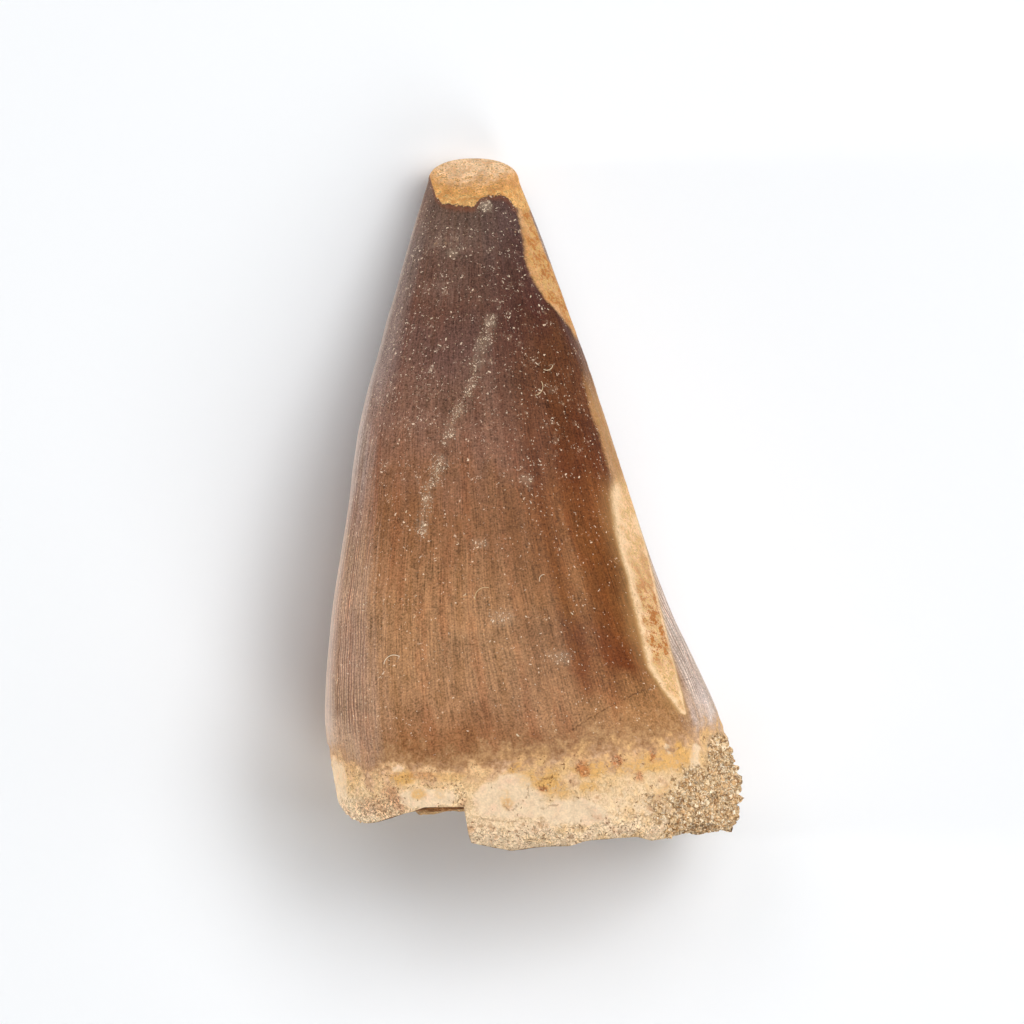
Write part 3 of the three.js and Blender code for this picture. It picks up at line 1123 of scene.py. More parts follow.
@dataclass(frozen=True)
class Graph:
    """Adds nodes to one shader or geometry tree and joins them up."""

    tree: bpy.types.NodeTree

    @classmethod
    def opened(cls, owner: bpy.types.Material | bpy.types.World) -> "Graph":
        """Empties the tree of a material or of the world.

        Args:
            owner: The material or the world.

        Returns:
            The graph of its tree.
        """
        owner.use_nodes = True
        owner.node_tree.nodes.clear()
        return cls(owner.node_tree)

    def put(self, kind: str, inputs: dict[str | int, Value], **settings: object) -> bpy.types.Node:
        """Adds a node.

        Args:
            kind: The node's type.
            inputs: What goes into each socket, by its name or its number.
            **settings: The node's own settings.

        Returns:
            The node.
        """
        node = self.tree.nodes.new(kind)
        for name, setting in settings.items():
            setattr(node, name, setting)
        for name, value in inputs.items():
            if isinstance(value, Wire):
                self.tree.links.new(value.socket, node.inputs[name])
            else:
                node.inputs[name].default_value = value
        return node

    def get(self, kind: str, inputs: dict[str | int, Value], output: str | int = 0,
            **settings: object) -> Wire:
        """Adds a node and gives one of its outputs."""
        return Wire(self, self.put(kind, inputs, **settings).outputs[output])

    def surface(self, inputs: dict[str | int, Value]) -> None:
        """Ends a material with its surface."""
        self.put("ShaderNodeOutputMaterial", {0: self.get("ShaderNodeBsdfPrincipled", inputs)})

    def maths(self, operation: str, first: Value, second: Value = 0.0) -> Wire:
        """Works out one number from two."""
        return self.get("ShaderNodeMath", {0: first, 1: second}, operation=operation)

    def sources(self) -> dict[str, Wire]:
        """Adds the node that the group's inputs come from, and gives them by name."""
        return {socket.name: Wire(self, socket) for socket in self.tree.nodes.new("NodeGroupInput").outputs}

    def noise(self, vector: Value, scale: float, detail: float) -> Wire:
        """Reads smooth noise that sways about 0."""
        return self.get("ShaderNodeTexNoise", {"Vector": vector, "Scale": scale, "Detail": detail}) - 0.5

    def mix(self, share: Value, first: Value, second: Value, blend: Blend = Blend.OVER) -> Wire:
        """Blends two colours.

        Args:
            share: How much of the second one.
            first: The first colour, from a node or as a screen colour.
            second: The second colour, given in the same way.
            blend: The way they blend.

        Returns:
            The blended colour.
        """
        under, over = (tone(colour) if isinstance(colour, tuple) else colour for colour in (first, second))
        inputs = {0: share, 6: under, 7: over}
        return self.get("ShaderNodeMix", inputs, 2, data_type="RGBA", blend_type=blend.value)

    def ramp(self, value: Wire, stops: Stops, low: float = 0.0, high: float = 1.0) -> Wire:
        """Looks a colour up.

        Args:
            value: The number to look up.
            stops: Numbers with their screen colours.
            low: The number that the ramp starts at.
            high: The number that the ramp ends at.

        Returns:
            The colour.
        """
        node = self.put("ShaderNodeValToRGB", {0: (value - low) / (high - low)})
        points = node.color_ramp.elements
        for number, (place, colour) in enumerate(sorted(stops)):
            spot = (place - low) / (high - low)
            point = points[number] if number < 2 else points.new(spot)
            point.position = spot
            point.color = tone(colour)
        return Wire(self, node.outputs[0])

    def measure(self, name: str) -> Wire:
        """Reads one of the surface's measures."""
        return self.get("ShaderNodeAttribute", {}, "Fac", attribute_name=name)


class SharedEffects:
    """The shader effects that the finishes share, each one a node group."""

    def __init__(self) -> None:
        """Builds the node groups."""
        self.crumbs = self.make_crumbs()
        self.streaks = self.make_streaks()

    @staticmethod
    def open_group(name: str, inputs: dict[str, float],
                   outputs: tuple[str, ...]) -> tuple[Graph, dict[str, Wire]]:
        """Starts a node group that reads a vector and some numbers.

        Args:
            name: The group's name.
            inputs: The numbers' names and what they are when nothing is joined to them.
            outputs: The names of the numbers that the group gives.

        Returns:
            The group's graph, and its inputs by name.
        """
        tree = bpy.data.node_groups.new(name, "ShaderNodeTree")
        tree.interface.new_socket("Vector", in_out="INPUT", socket_type="NodeSocketVector")
        for label, value in inputs.items():
            socket = tree.interface.new_socket(label, in_out="INPUT", socket_type="NodeSocketFloat")
            socket.default_value = value
        for label in outputs:
            tree.interface.new_socket(label, in_out="OUTPUT", socket_type="NodeSocketFloat")
        graph = Graph(tree)
        return graph, graph.sources()

    def make_crumbs(self) -> bpy.types.NodeTree:
        """Builds crumb-shaped cells all over, each with its own chances.

        Returns:
            The group. Away grows from a cell's middle, in cells. The others are the cell's own numbers.
        """
        graph, source = self.open_group("Crumbs", {"Cells": 3.0}, ("Away", "Chance", "Level", "Tint"))
        cells = graph.put("ShaderNodeTexVoronoi", {"Vector": source["Vector"], "Scale": source["Cells"]})
        parts = graph.put("ShaderNodeSeparateColor", {0: Wire(graph, cells.outputs["Color"])})
        given = [cells.outputs["Distance"], *parts.outputs]
        graph.put("NodeGroupOutput", {number: Wire(graph, socket) for number, socket in enumerate(given)})
        return graph.tree

    def make_streaks(self) -> bpy.types.NodeTree:
        """Builds streaks drawn out along the crown.

        Returns:
            The group. Across and Along count waves in a millimetre, and Value sways about 0.
        """
        graph, source = self.open_group("Streaks", {"Across": 3.0, "Along": 0.3, "Detail": 1.0}, ("Value",))
        scale = graph.get("ShaderNodeCombineXYZ", {0: source["Across"], 1: source["Along"], 2: 1.0})
        vector = graph.get("ShaderNodeVectorMath", {0: source["Vector"], 1: scale}, operation="MULTIPLY")
        inputs = {"Vector": vector, "Scale": 1.0, "Detail": source["Detail"]}
        waves = graph.get("ShaderNodeTexNoise", inputs, noise_dimensions="2D")
        graph.put("NodeGroupOutput", {0: waves - 0.5})
        return graph.tree


@dataclass(frozen=True)
class Crumbs:
    """Crumb-shaped cells: how far from a cell's middle, and three numbers that each cell keeps."""

    away: Wire
    chance: Wire
    level: Wire
    tint: Wire

    def specks(self, share: Value, size: float, pick: Wire | None = None) -> Wire:
        """Picks out some of the cells as specks.

        Args:
            share: How many of the cells hold a speck.
            size: The largest speck's radius, in cells.
            pick: The cells' number that picks them, if it isn't their chance.

        Returns:
            A mask of them.
        """
        soft = (self.away / ((self.level * 0.7 + 0.3) * size)).step(1.0, 0.45)
        return self.away.graph.maths("LESS_THAN", self.chance if pick is None else pick, share) * soft


@dataclass(frozen=True)
class Marks:
    """What every finish of the tooth reads: places, measures and shared noise that sways about 0.

    CELLS counts the crumbs in a millimetre. WAVES gives each noise's waves in a millimetre and its detail.
    """

    graph: Graph
    grain: Wire
    along: Wire
    across: Wire
    clouds: Wire
    medium: Wire
    small: Wire
    fine: Wire
    coarse: Crumbs
    tiny: Crumbs
    effects: SharedEffects
    CELLS: ClassVar[tuple[float, ...]] = (4.0, 10.5)
    WAVES: ClassVar[tuple[Pair, ...]] = ((0.32, 2.0), (1.1, 3.0), (3.4, 2.0), (9.0, 0.0))

    @classmethod
    def read(cls, graph: Graph) -> "Marks":
        """Sets up the readings.

        Args:
            graph: Where the nodes go.

        Returns:
            The readings.
        """
        effects = SharedEffects()
        place = graph.get("ShaderNodeTexCoord", {}, "Object")
        place = graph.get("ShaderNodeVectorMath", {0: place, 1: (1 / MM,) * 3}, operation="MULTIPLY")
        sway = graph.get("ShaderNodeTexNoise", {"Vector": place, "Scale": 4.5, "Detail": 0.0}, "Color")
        inputs = {0: sway, 1: (0.3, 0.3, 0.3), 2: place}
        bent = graph.get("ShaderNodeVectorMath", inputs, operation="MULTIPLY_ADD")
        crumbs = []
        for cells in cls.CELLS:
            inputs = {"Vector": bent, "Cells": cells}
            node = graph.put("ShaderNodeGroup", inputs, node_tree=effects.crumbs)
            crumbs.append(Crumbs(*(Wire(graph, socket) for socket in node.outputs)))
        waves = [graph.noise(place, *size) for size in cls.WAVES]
        grain = graph.get("ShaderNodeUVMap", {}, uv_map="Grain")
        return cls(graph, grain, graph.measure("along"), graph.measure("across"), *waves, *crumbs, effects)

    def streaks(self, across: float, along: float, detail: float = 1.0) -> Wire:
        """Reads streaks that sway about 0."""
        inputs = {"Vector": self.grain, "Across": across, "Along": along, "Detail": detail}
        return self.graph.get("ShaderNodeGroup", inputs, node_tree=self.effects.streaks)

    def dots(self, amount: float) -> Wire:
        """Reads the shade of the finest crumbs, which sways about 0 by the amount."""
        return (self.tiny.tint - 0.5) * amount


@dataclass(frozen=True)
class Look:
    """What one finish gives: its colour, its bump height in millimetres and its roughness."""

    colour: Wire
    height: Wire
    roughness: Wire | float

    def under(self, over: "Look", share: Wire) -> "Look":
        """Lays another look over this one.

        Args:
            over: The other look.
            share: Where it shows.

        Returns:
            The blended look.
        """
        bare = 1.0 - share
        height = self.height * bare + over.height * share
        roughness = self.roughness * bare + over.roughness * share
        return Look(share.graph.mix(share, self.colour, over.colour), height, roughness)


@dataclass(frozen=True)
class EnamelFinish:
    """Brown enamel: darkest at the tip, redder to the right, greyer on the ridged flanks, whose pale tints
    are partly painted sheen.
    """

    front: Stops = (
        (18, (99, 77, 66)), (16, (108, 84, 73)), (12, (102, 70, 57)), (9, (108, 77, 67)),
        (6, (123, 89, 73)), (3, (137, 97, 75)), (0, (140, 96, 65)), (-3, (149, 104, 71)),
        (-6, (168, 122, 84)), (-9, (165, 123, 87)), (-12, (165, 121, 86)), (-14.5, (150, 102, 66)),
    )
    right: Stops = (
        (18, (87, 64, 59)), (12, (80, 45, 36)), (9, (97, 57, 33)), (6, (102, 58, 31)),
        (3, (98, 51, 25)), (0, (122, 70, 34)), (-3, (121, 71, 32)), (-6, (121, 73, 34)),
        (-9, (112, 56, 23)), (-12, (162, 115, 72)), (-14.5, (166, 120, 77)),
    )
    # The pale flank tints are partly the enamel's own colour and partly painted grazing sheen.
    left_flank: Stops = (
        (18, (140, 112, 98)), (16, (146, 128, 120)), (12, (150, 132, 124)), (9, (156, 138, 130)),
        (6, (168, 146, 138)), (3, (173, 152, 141)), (0, (166, 132, 113)), (-3, (184, 149, 120)),
        (-6, (198, 160, 131)), (-9, (179, 144, 120)), (-12, (188, 153, 125)),
    )
    right_flank: Stops = (
        (16, (170, 149, 137)), (8, (182, 159, 145)), (0, (206, 182, 168)), (-8, (226, 208, 196)),
        (-10.5, (214, 193, 178)), (-12, (206, 186, 176)), (-13, (226, 210, 200)),
    )
    groove_shade: Tint = (108, 74, 60)
    painted_rim_sheen: Tint = (226, 210, 198)
    pale_groove_shade: Tint = (148, 118, 102)
    dust: Tint = (194, 174, 148)
    fleck: Tint = (236, 220, 186)
    speck: Tint = (234, 213, 186)
    pit: Tint = (58, 34, 24)
    ruddy: Tint = (236, 176, 138)
    olive: Tint = (214, 196, 156)
    lower: Tint = (140, 96, 60)
    sandy: Tint = (206, 166, 118)
    halo: Tint = (206, 164, 108)
    crack: Tint = (92, 60, 40)
    left_pitch: float = 0.23
    right_pitch: float = 0.28
    reach: Pair = (-16.0, 19.0)

    def look(self, marks: Marks) -> Look:
        """Works out the enamel's look.

        Args:
            marks: What the finish reads.

        Returns:
            The look.
        """
        graph = marks.graph
        wide = marks.streaks(0.55, 0.05)
        lines = marks.streaks(2.2, 0.1, 2.0)
        hairs = marks.streaks(10.0, 0.6, 0.0)
        ridged = graph.measure("ridged") + lines * 16.0
        ends = marks.along.step(1.0, -2.5) + marks.along.step(12.5, 13.5)
        edge = marks.across.step(0.87, 0.94) * ends
        # The upper left side takes the pale flank tints as painted sheen; the right edge near the ends takes
        # them for the far side's enamel.
        sheen_and_far_edge = marks.across.step(-0.7, -0.95) * marks.along.step(3.0, 9.0)
        sheen_and_far_edge = graph.maths("MAXIMUM", sheen_and_far_edge * 0.8, edge)
        on_flank = graph.maths("MAXIMUM", ridged.step(-9.0, 12.0), sheen_and_far_edge)

        along = marks.along + marks.clouds * 6.0 + wide * 4.0
        rightness = marks.across + wide * 0.6
        front, right, left_flank, right_flank = (
            graph.ramp(along, stops, *self.reach)
            for stops in (self.front, self.right, self.left_flank, self.right_flank)
        )
        colour = graph.mix(rightness.step(0.0, 0.7), front, right)
        side = graph.mix(marks.across.step(-0.1, 0.1), left_flank, right_flank)
        colour = graph.mix(on_flank, colour, side)

        upper = marks.along.step(-6.0, 7.0)
        calm = graph.measure("root").step(0.3, -4.0) * 0.75 + 0.25
        shade = ((lines * 0.3 + hairs * 0.7) * calm + marks.clouds * 0.6 + marks.medium * 0.25
                 + marks.small * 0.4 + marks.fine + marks.dots(0.9) * (upper * 0.3 + 0.3) + 1.0)
        colour = graph.mix(1.0, colour, shade, Blend.SHADE)
        drift = marks.streaks(0.9, 0.11, 2.0) + marks.medium * 0.4
        colour = graph.mix(drift.step(0.0, 0.25) * 0.24, colour, self.ruddy, Blend.SHADE)
        colour = graph.mix(drift.step(0.0, -0.25) * 0.3, colour, self.olive, Blend.SHADE)

        wavy = marks.streaks(1.3, 0.9) * 0.2 + graph.get("ShaderNodeSeparateXYZ", {0: marks.grain})
        right_side = marks.across.step(-0.1, 0.1)
        turns = right_side * (TURN / self.right_pitch - TURN / self.left_pitch) + TURN / self.left_pitch
        ridge = graph.maths("COSINE", wavy * turns)
        sharp = (ridge * 0.5 + 0.5) ** 1.5
        carved = on_flank * on_flank * (lines + 0.7)
        smooth = (graph.measure("root") + marks.medium * 3.0).step(-1.0, -3.0)
        carved = carved * (smooth * 0.8 + 0.2)
        # Painted shade: the grooves between the flank ridges are darkened in the colour as well as carved by
        # the bump.
        painted_groove_shade = sharp * carved
        colour = graph.mix(painted_groove_shade, colour, graph.mix(right_side, self.groove_shade, self.pale_groove_shade))

        # Painted sheen: the colour is lightened along the left outline to stand in for light glancing off
        # the edge.
        pale = marks.across.step(-0.92, -0.99) * 0.55
        colour = graph.mix(pale, colour, self.painted_rim_sheen)

        dusty = graph.measure("dust")
        path = abs(graph.measure("trail")) + marks.small * 1.1 + marks.fine * 0.7
        trail = path.step(0.52, 0.0) * (marks.medium + marks.small * 0.5).step(-0.2, 0.14)
        loose = graph.maths("MAXIMUM", trail, dusty)
        cluster = (marks.medium + marks.small * 0.8).step(0.12, 0.28)
        film = graph.maths("MAXIMUM", loose, cluster * upper * 0.3)
        colour = graph.mix(film * 0.28, colour, self.dust)
        patchy = marks.medium.step(-0.1, 0.16)
        dark = marks.tiny.specks(0.08, 0.8, marks.tiny.tint)
        colour = graph.mix(dark * patchy * 0.5, colour, self.pit)
        share = upper * patchy * 0.13 + cluster * 0.22 + 0.024 + loose * 0.65
        bright = marks.tiny.level ** 2.0 + 0.1 + loose * 0.3
        bright = marks.tiny.specks(share, 0.8) * bright
        colour = graph.mix(bright, colour, self.speck)
        share = cluster * 0.1 + 0.01 + loose * 0.6
        flecks = marks.coarse.specks(share, 0.3)
        colour = graph.mix(flecks * 0.8, colour, self.fleck)

        away = abs(graph.measure("crack")) + marks.fine * 0.1
        line = away.step(0.06, 0.015) * marks.small.step(-0.15, 0.1)
        colour = graph.mix(line * 0.5, colour, self.crack)
        wide_halo = (graph.measure("strip") + marks.clouds * 1.2).step(-1.2, 0.1)
        halo = wide_halo * 0.3 + graph.measure("strip").step(-0.28, 0.0) * 0.4
        halo = halo * marks.along.step(2.2, 0.4)
        colour = graph.mix(halo, colour, self.halo)
        lower = graph.measure("root") + marks.medium * 3.4 + marks.small * 1.2
        tan = marks.small * 1.6 + marks.fine * 0.6 + marks.medium * 0.8 + 0.5
        tan = graph.mix(tan, self.lower, self.sandy)
        tanned = lower.step(-1.8, 0.3) * (on_flank * -0.45 + 0.75)
        colour = graph.mix(tanned, colour, tan)
        height = lines * 0.006 + hairs * 0.01 + marks.fine * 0.016 + sharp * on_flank * -0.03 + line * -0.03
        roughness = marks.clouds * 0.2 + on_flank * 0.08 + 0.5
        return Look(colour, height, roughness)


@dataclass(frozen=True)
class RootFinish:
    """The broken collar of root: cream bone with orange and rust stains, pits and hairline cracks."""

    below_edge: Stops = (
        (0.0, (182, 138, 98)), (0.4, (212, 168, 124)), (0.9, (228, 188, 142)), (1.6, (234, 198, 150)),
        (2.3, (236, 204, 160)), (4.0, (242, 216, 180)),
    )
    porcelain: Tint = (234, 208, 174)
    amber: Tint = (216, 164, 92)
    pink: Tint = (238, 202, 170)
    rust: Tint = (172, 98, 58)
    brown: Tint = (180, 132, 84)
    pit: Tint = (134, 84, 50)

    def look(self, marks: Marks, root: Wire) -> Look:
        """Works out the root's look.

        Args:
            marks: What the finish reads.
            root: How far below the enamel's edge, in millimetres.

        Returns:
            The look.
        """
        graph = marks.graph
        colour = graph.ramp(root + marks.medium * 2.4, self.below_edge, 0.0, 4.0)
        colour = graph.mix(marks.medium.step(0.02, -0.22) * 0.6, colour, self.pink)
        mottle = marks.medium * 1.2 + marks.small * 0.5
        stain = mottle.step(-0.12, 0.3) * marks.across.step(-0.5, 0.1)
        colour = graph.mix(stain * 0.55, colour, self.amber)
        swirl = abs(marks.small + mottle * 0.5 + 0.04).step(0.1, 0.02)
        swirl = swirl * marks.medium.step(-0.2, 0.1)
        brown = graph.maths("MAXIMUM", mottle.step(-0.04, -0.26), swirl * 0.8)
        colour = graph.mix(brown * 0.55, colour, self.brown)
        glazed = graph.measure("cream") + marks.medium * 0.8 + marks.small * 0.4
        glazed = glazed.step(0.1, 0.75)
        pale = graph.mix(marks.medium.step(-0.05, 0.25), self.porcelain, self.pink)
        colour = graph.mix(glazed * 0.85, colour, pale)
        uneven = marks.small + marks.fine * 0.4 + marks.medium * 0.6
        amber = graph.measure("amber") * uneven.step(-0.3, 0.06)
        colour = graph.mix(amber * 0.85, colour, self.amber)
        rust = graph.measure("rust") * uneven.step(-0.24, 0.04)
        colour = graph.mix(rust * 0.8, colour, self.rust)
        bare = 1.0 - glazed * 0.85
        rim = (graph.measure("rimgap") + marks.medium * 1.4).step(1.9, 0.7)
        patches = marks.medium.step(0.02, 0.2) + marks.across.step(-0.6, -0.8)
        patches = patches * 0.38
        grainy = rim * 0.75 + graph.measure("rust") * 0.8 + patches + 0.1
        grainy = bare * grainy
        shade = marks.small * 0.35 + marks.fine * 0.3 + marks.dots(0.7) * grainy + 1.0
        colour = graph.mix(1.0, colour, shade, Blend.SHADE)
        pits = marks.tiny.specks(grainy * 0.32, 0.85)
        pits = graph.maths("MAXIMUM", pits, marks.coarse.specks(grainy * 0.14, 0.4))
        colour = graph.mix(pits * 0.75, colour, self.pit)
        away = graph.measure("hairline") + marks.fine * 0.12
        line = away.step(0.1, 0.03) * marks.small.step(-0.3, 0.05)
        colour = graph.mix(line * 0.42, colour, self.pit)
        rough = marks.small * 0.12 + marks.fine * 0.05 + pits * -0.04
        height = rough * bare + line * -0.02 + marks.medium * 0.1
        return Look(colour, height, marks.small * 0.3 + 0.6)


@dataclass(frozen=True)
class WornFinish:
    """Dentine laid bare: cream to tan, with orange-brown patches inside."""

    cream: Tint = (234, 192, 148)
    tan: Tint = (200, 146, 92)
    deep: Tint = (178, 110, 50)
    yellow: Tint = (216, 172, 100)
    red: Tint = (150, 84, 48)
    lip: Tint = (246, 216, 174)

    def look(self, marks: Marks, depth: Wire, tanned: Wire, patched: Wire) -> Look:
        """Works out the bare dentine's look.

        Args:
            marks: What the finish reads.
            depth: How far inside its edge, in millimetres.
            tanned: How tan the whole is.
            patched: How strong the orange-brown patches are.

        Returns:
            The look.
        """
        graph = marks.graph
        colour = graph.mix(tanned + marks.medium * 1.2, self.cream, self.tan)
        inner = (depth + marks.medium).step(0.1, 0.5)
        uneven = marks.small + marks.fine * 0.5
        yellow = uneven.step(0.1, -0.1) * (inner * 0.5 + 0.3)
        colour = graph.mix(yellow * 0.8, colour, self.yellow)
        spread = uneven + marks.medium + marks.dots(0.16)
        deep = spread.step(-0.02, 0.1) * inner * patched
        colour = graph.mix(deep * 0.9, colour, self.deep)
        shade = marks.small * 0.4 + marks.fine * 0.5 + marks.dots(0.25) + 1.0
        colour = graph.mix(1.0, colour, shade, Blend.SHADE)
        lip = (depth + marks.medium).step(0.55, 0.15) * tanned.step(0.6, 0.2)
        colour = graph.mix(lip * 0.5, colour, self.lip)
        pits = marks.tiny.specks(patched * 0.2 + 0.05, 0.8)
        colour = graph.mix(pits * 0.5, colour, self.red)
        height = marks.medium * 0.05 + marks.small * 0.08 + marks.fine * 0.03
        return Look(colour, height, marks.small * 0.3 + 0.55)


@dataclass(frozen=True)
class CrustFinish:
    """Sand cemented to the root."""

    tints: Stops = (
        (0.0, (160, 112, 64)), (0.2, (208, 164, 112)), (0.45, (236, 200, 152)), (0.75, (248, 220, 178)),
        (1.0, (255, 244, 220)),
    )
    gap: Tint = (122, 86, 50)

    def look(self, marks: Marks) -> Look:
        """Works out the crust's look.

        Args:
            marks: What the finish reads.

        Returns:
            The look.
        """
        graph = marks.graph
        large = graph.ramp(marks.coarse.tint, self.tints)
        colour = graph.mix(0.6, large, graph.ramp(marks.tiny.tint, self.tints))
        edge = (marks.coarse.away + marks.small).step(0.5, 0.72) * 0.75
        nick = (marks.tiny.away + marks.fine * 0.5).step(0.5, 0.75) * 0.5
        colour = graph.mix(graph.maths("MAXIMUM", edge, nick), colour, self.gap)
        hollow = (marks.medium + marks.small * 0.5).step(-0.02, -0.16)
        colour = graph.mix(hollow * 0.5, colour, self.gap)
        shade = marks.fine * 0.7 + marks.small * 0.4 + 1.0
        colour = graph.mix(1.0, colour, shade, Blend.SHADE)
        height = marks.coarse.away * -0.16 + marks.small * 0.12 + marks.fine * 0.05
        return Look(colour, height, 0.85)


@dataclass(frozen=True)
class BrokenFinish:
    """The broken end: a brown rim, deepened partly as painted shade, then bands of bone round a gritty
    filling.
    """

    bands: Stops = (
        # The darkest stops at the rim are the break's own brown deepened as painted shade on the ledge that
        # faces down.
        (0.0, (116, 70, 34)), (0.5, (156, 102, 56)), (0.9, (214, 170, 116)), (2.0, (220, 182, 134)),
        (3.2, (204, 158, 108)), (4.6, (188, 144, 98)), (8.0, (178, 134, 92)),
    )
    gap: Tint = (112, 80, 50)

    def look(self, marks: Marks, inward: Wire) -> Look:
        """Works out the broken end's look.

        Args:
            marks: What the finish reads.
            inward: How far in from the rim, in millimetres.

        Returns:
            The look.
        """
        graph = marks.graph
        swayed = inward + marks.medium * 1.6 + marks.small * 0.8
        colour = graph.ramp(swayed, self.bands, 0.0, 8.0)
        shade = marks.dots(0.8) + marks.small + marks.fine * 0.7 + 1.0
        colour = graph.mix(1.0, colour, shade, Blend.SHADE)
        filled = swayed.step(2.6, 4.2)
        dark = marks.coarse.away.step(0.5, 0.75) * (filled * 0.4 + 0.25)
        colour = graph.mix(dark, colour, self.gap)
        height = (marks.coarse.away * filled * -0.14 + marks.medium * 0.16 + marks.small * 0.1
                  + marks.fine * 0.04)
        return Look(colour, height, 0.85)


@dataclass(frozen=True)
class FossilMaterial:
    """The tooth's one material, with a finish for each part of its surface."""

    enamel: EnamelFinish = EnamelFinish()
    root: RootFinish = RootFinish()
    worn: WornFinish = WornFinish()
    crust: CrustFinish = CrustFinish()
    broken: BrokenFinish = BrokenFinish()
    tip_bands: Stops = (
        (17.4, (228, 174, 102)), (18.4, (238, 190, 122)), (19.2, (222, 161, 90)), (20.0, (234, 182, 124)),
        (20.8, (252, 216, 174)),
    )
    fringe: Tint = (140, 76, 46)
    specular: float = 0.12

    def add_worn_places(self, marks: Marks, ragged: Wire, look: Look) -> Look:
        """Lays the bare strip along the cutting edge and the worn tip over the enamel.

        Args:
            marks: What the finish reads.
            ragged: Noise that breaks up the edges.
            look: The enamel's look.

        Returns:
            The blended look.
        """
        graph = marks.graph
        strip = graph.measure("strip") + ragged * 0.25
        high = marks.along.step(7.5, 9.5)
        thin = marks.along.step(0.5, 2.0) * marks.along.step(10.4, 9.8)
        tanned = high * 0.8 + thin * 0.8 + 0.1
        low = marks.along.step(-1.0, -7.5) * marks.along.step(-10.2, -9.0)
        patched = low + high * 0.85 + 0.12
        bare = self.worn.look(marks, strip, tanned, patched)
        faded = thin * (marks.along.step(5.5, 9.0) * 0.65 + 0.35)
        shown = strip.step(-0.12, 0.16) * (1.0 - faded)
        look = look.under(bare, shown)

        tip = graph.measure("tipwear") + ragged * 0.5
        sway = marks.along + ragged * 4.0
        bands = graph.ramp(sway, self.tip_bands, 17.0, 21.2)
        fringe = tip.step(-0.5, 0.0) * tip.step(0.0, -0.1)
        fringe = fringe * (0.5 - shown * 0.5)
        stained = graph.mix(fringe, look.colour, self.fringe)
        shade = marks.small * 0.5 + marks.fine + marks.dots(0.5) + 1.0
        grainy = graph.mix(1.0, graph.mix(0.8, bare.colour, bands), shade, Blend.SHADE)
        spots = marks.small + marks.medium + marks.fine * 0.5 + marks.dots(0.3)
        spots = spots.step(0.02, 0.2) * 0.55
        worn_tip = Look(graph.mix(spots, grainy, self.worn.deep), bare.height, bare.roughness)
        return Look(stained, look.height, look.roughness).under(worn_tip, tip.step(-0.04, 0.1))

    def build(self) -> bpy.types.Material:
        """Builds the material.

        Returns:
            The material.
        """
        material = bpy.data.materials.new("Fossil tooth")
        graph = Graph.opened(material)
        marks = Marks.read(graph)
        ragged = marks.small * 0.8 + marks.fine * 0.3
        look = self.add_worn_places(marks, ragged, self.enamel.look(marks))

        root = graph.measure("root") + marks.small + marks.medium * 1.6
        look = look.under(self.root.look(marks, root), root.step(-0.7, 0.7))

        inward = graph.measure("rimgap") * -1.0
        broken = self.broken.look(marks, inward)
        look = look.under(broken, inward.step(0.0, 0.06))

        crust = graph.measure("crust") + ragged * 1.4 + marks.medium * 0.6
        look = look.under(self.crust.look(marks), crust.step(0.25, 0.6))

        bump = graph.get("ShaderNodeBump", {"Strength": 1.0, "Distance": MM, "Height": look.height})
        graph.surface({
            "Base Color": look.colour, "Roughness": look.roughness, "Normal": bump,
            "Specular IOR Level": self.specular,
        })
        return material


@dataclass(frozen=True)
class GrainFinish:
    """Loose-looking grains, each with its own tint."""

    name: str
    tints: Stops
    roughness: float = 0.8

    def build(self) -> bpy.types.Material:
        """Builds the material.

        Returns:
            The material.
        """
        material = bpy.data.materials.new(self.name)
        graph = Graph.opened(material)
        colour = graph.ramp(graph.measure("tint"), self.tints)
        graph.surface({"Base Color": colour, "Roughness": self.roughness})
        return material


@dataclass(frozen=True)
class GrainShapes:
    """A few knobbly grain shapes for scattering."""

    seed: int
    subdivisions: int
    count: int = 5
    jitter: float = 0.32

    def build(self) -> bpy.types.Collection:
        """Builds the shapes.

        Returns:
            A collection of them, each about 1 metre in radius until it is scaled.
        """
        chance = np.random.default_rng(self.seed)
        shapes = bpy.data.collections.new(f"Grain shapes {self.seed}")
        for number in range(self.count):
            form = bmesh.new()
            bmesh.ops.create_icosphere(form, subdivisions=self.subdivisions, radius=1.0)
            squash = chance.uniform(0.65, 1.15, 3)
            for vertex in form.verts:
                swell = 1.0 + self.jitter * chance.uniform(-1.0, 1.0)
                vertex.co = [c * s * swell for c, s in zip(vertex.co, squash)]
            mesh = bpy.data.meshes.new(f"Grain shape {self.seed}.{number}")
            form.to_mesh(mesh)
            form.free()
            shapes.objects.link(bpy.data.objects.new(mesh.name, mesh))
        return shapes


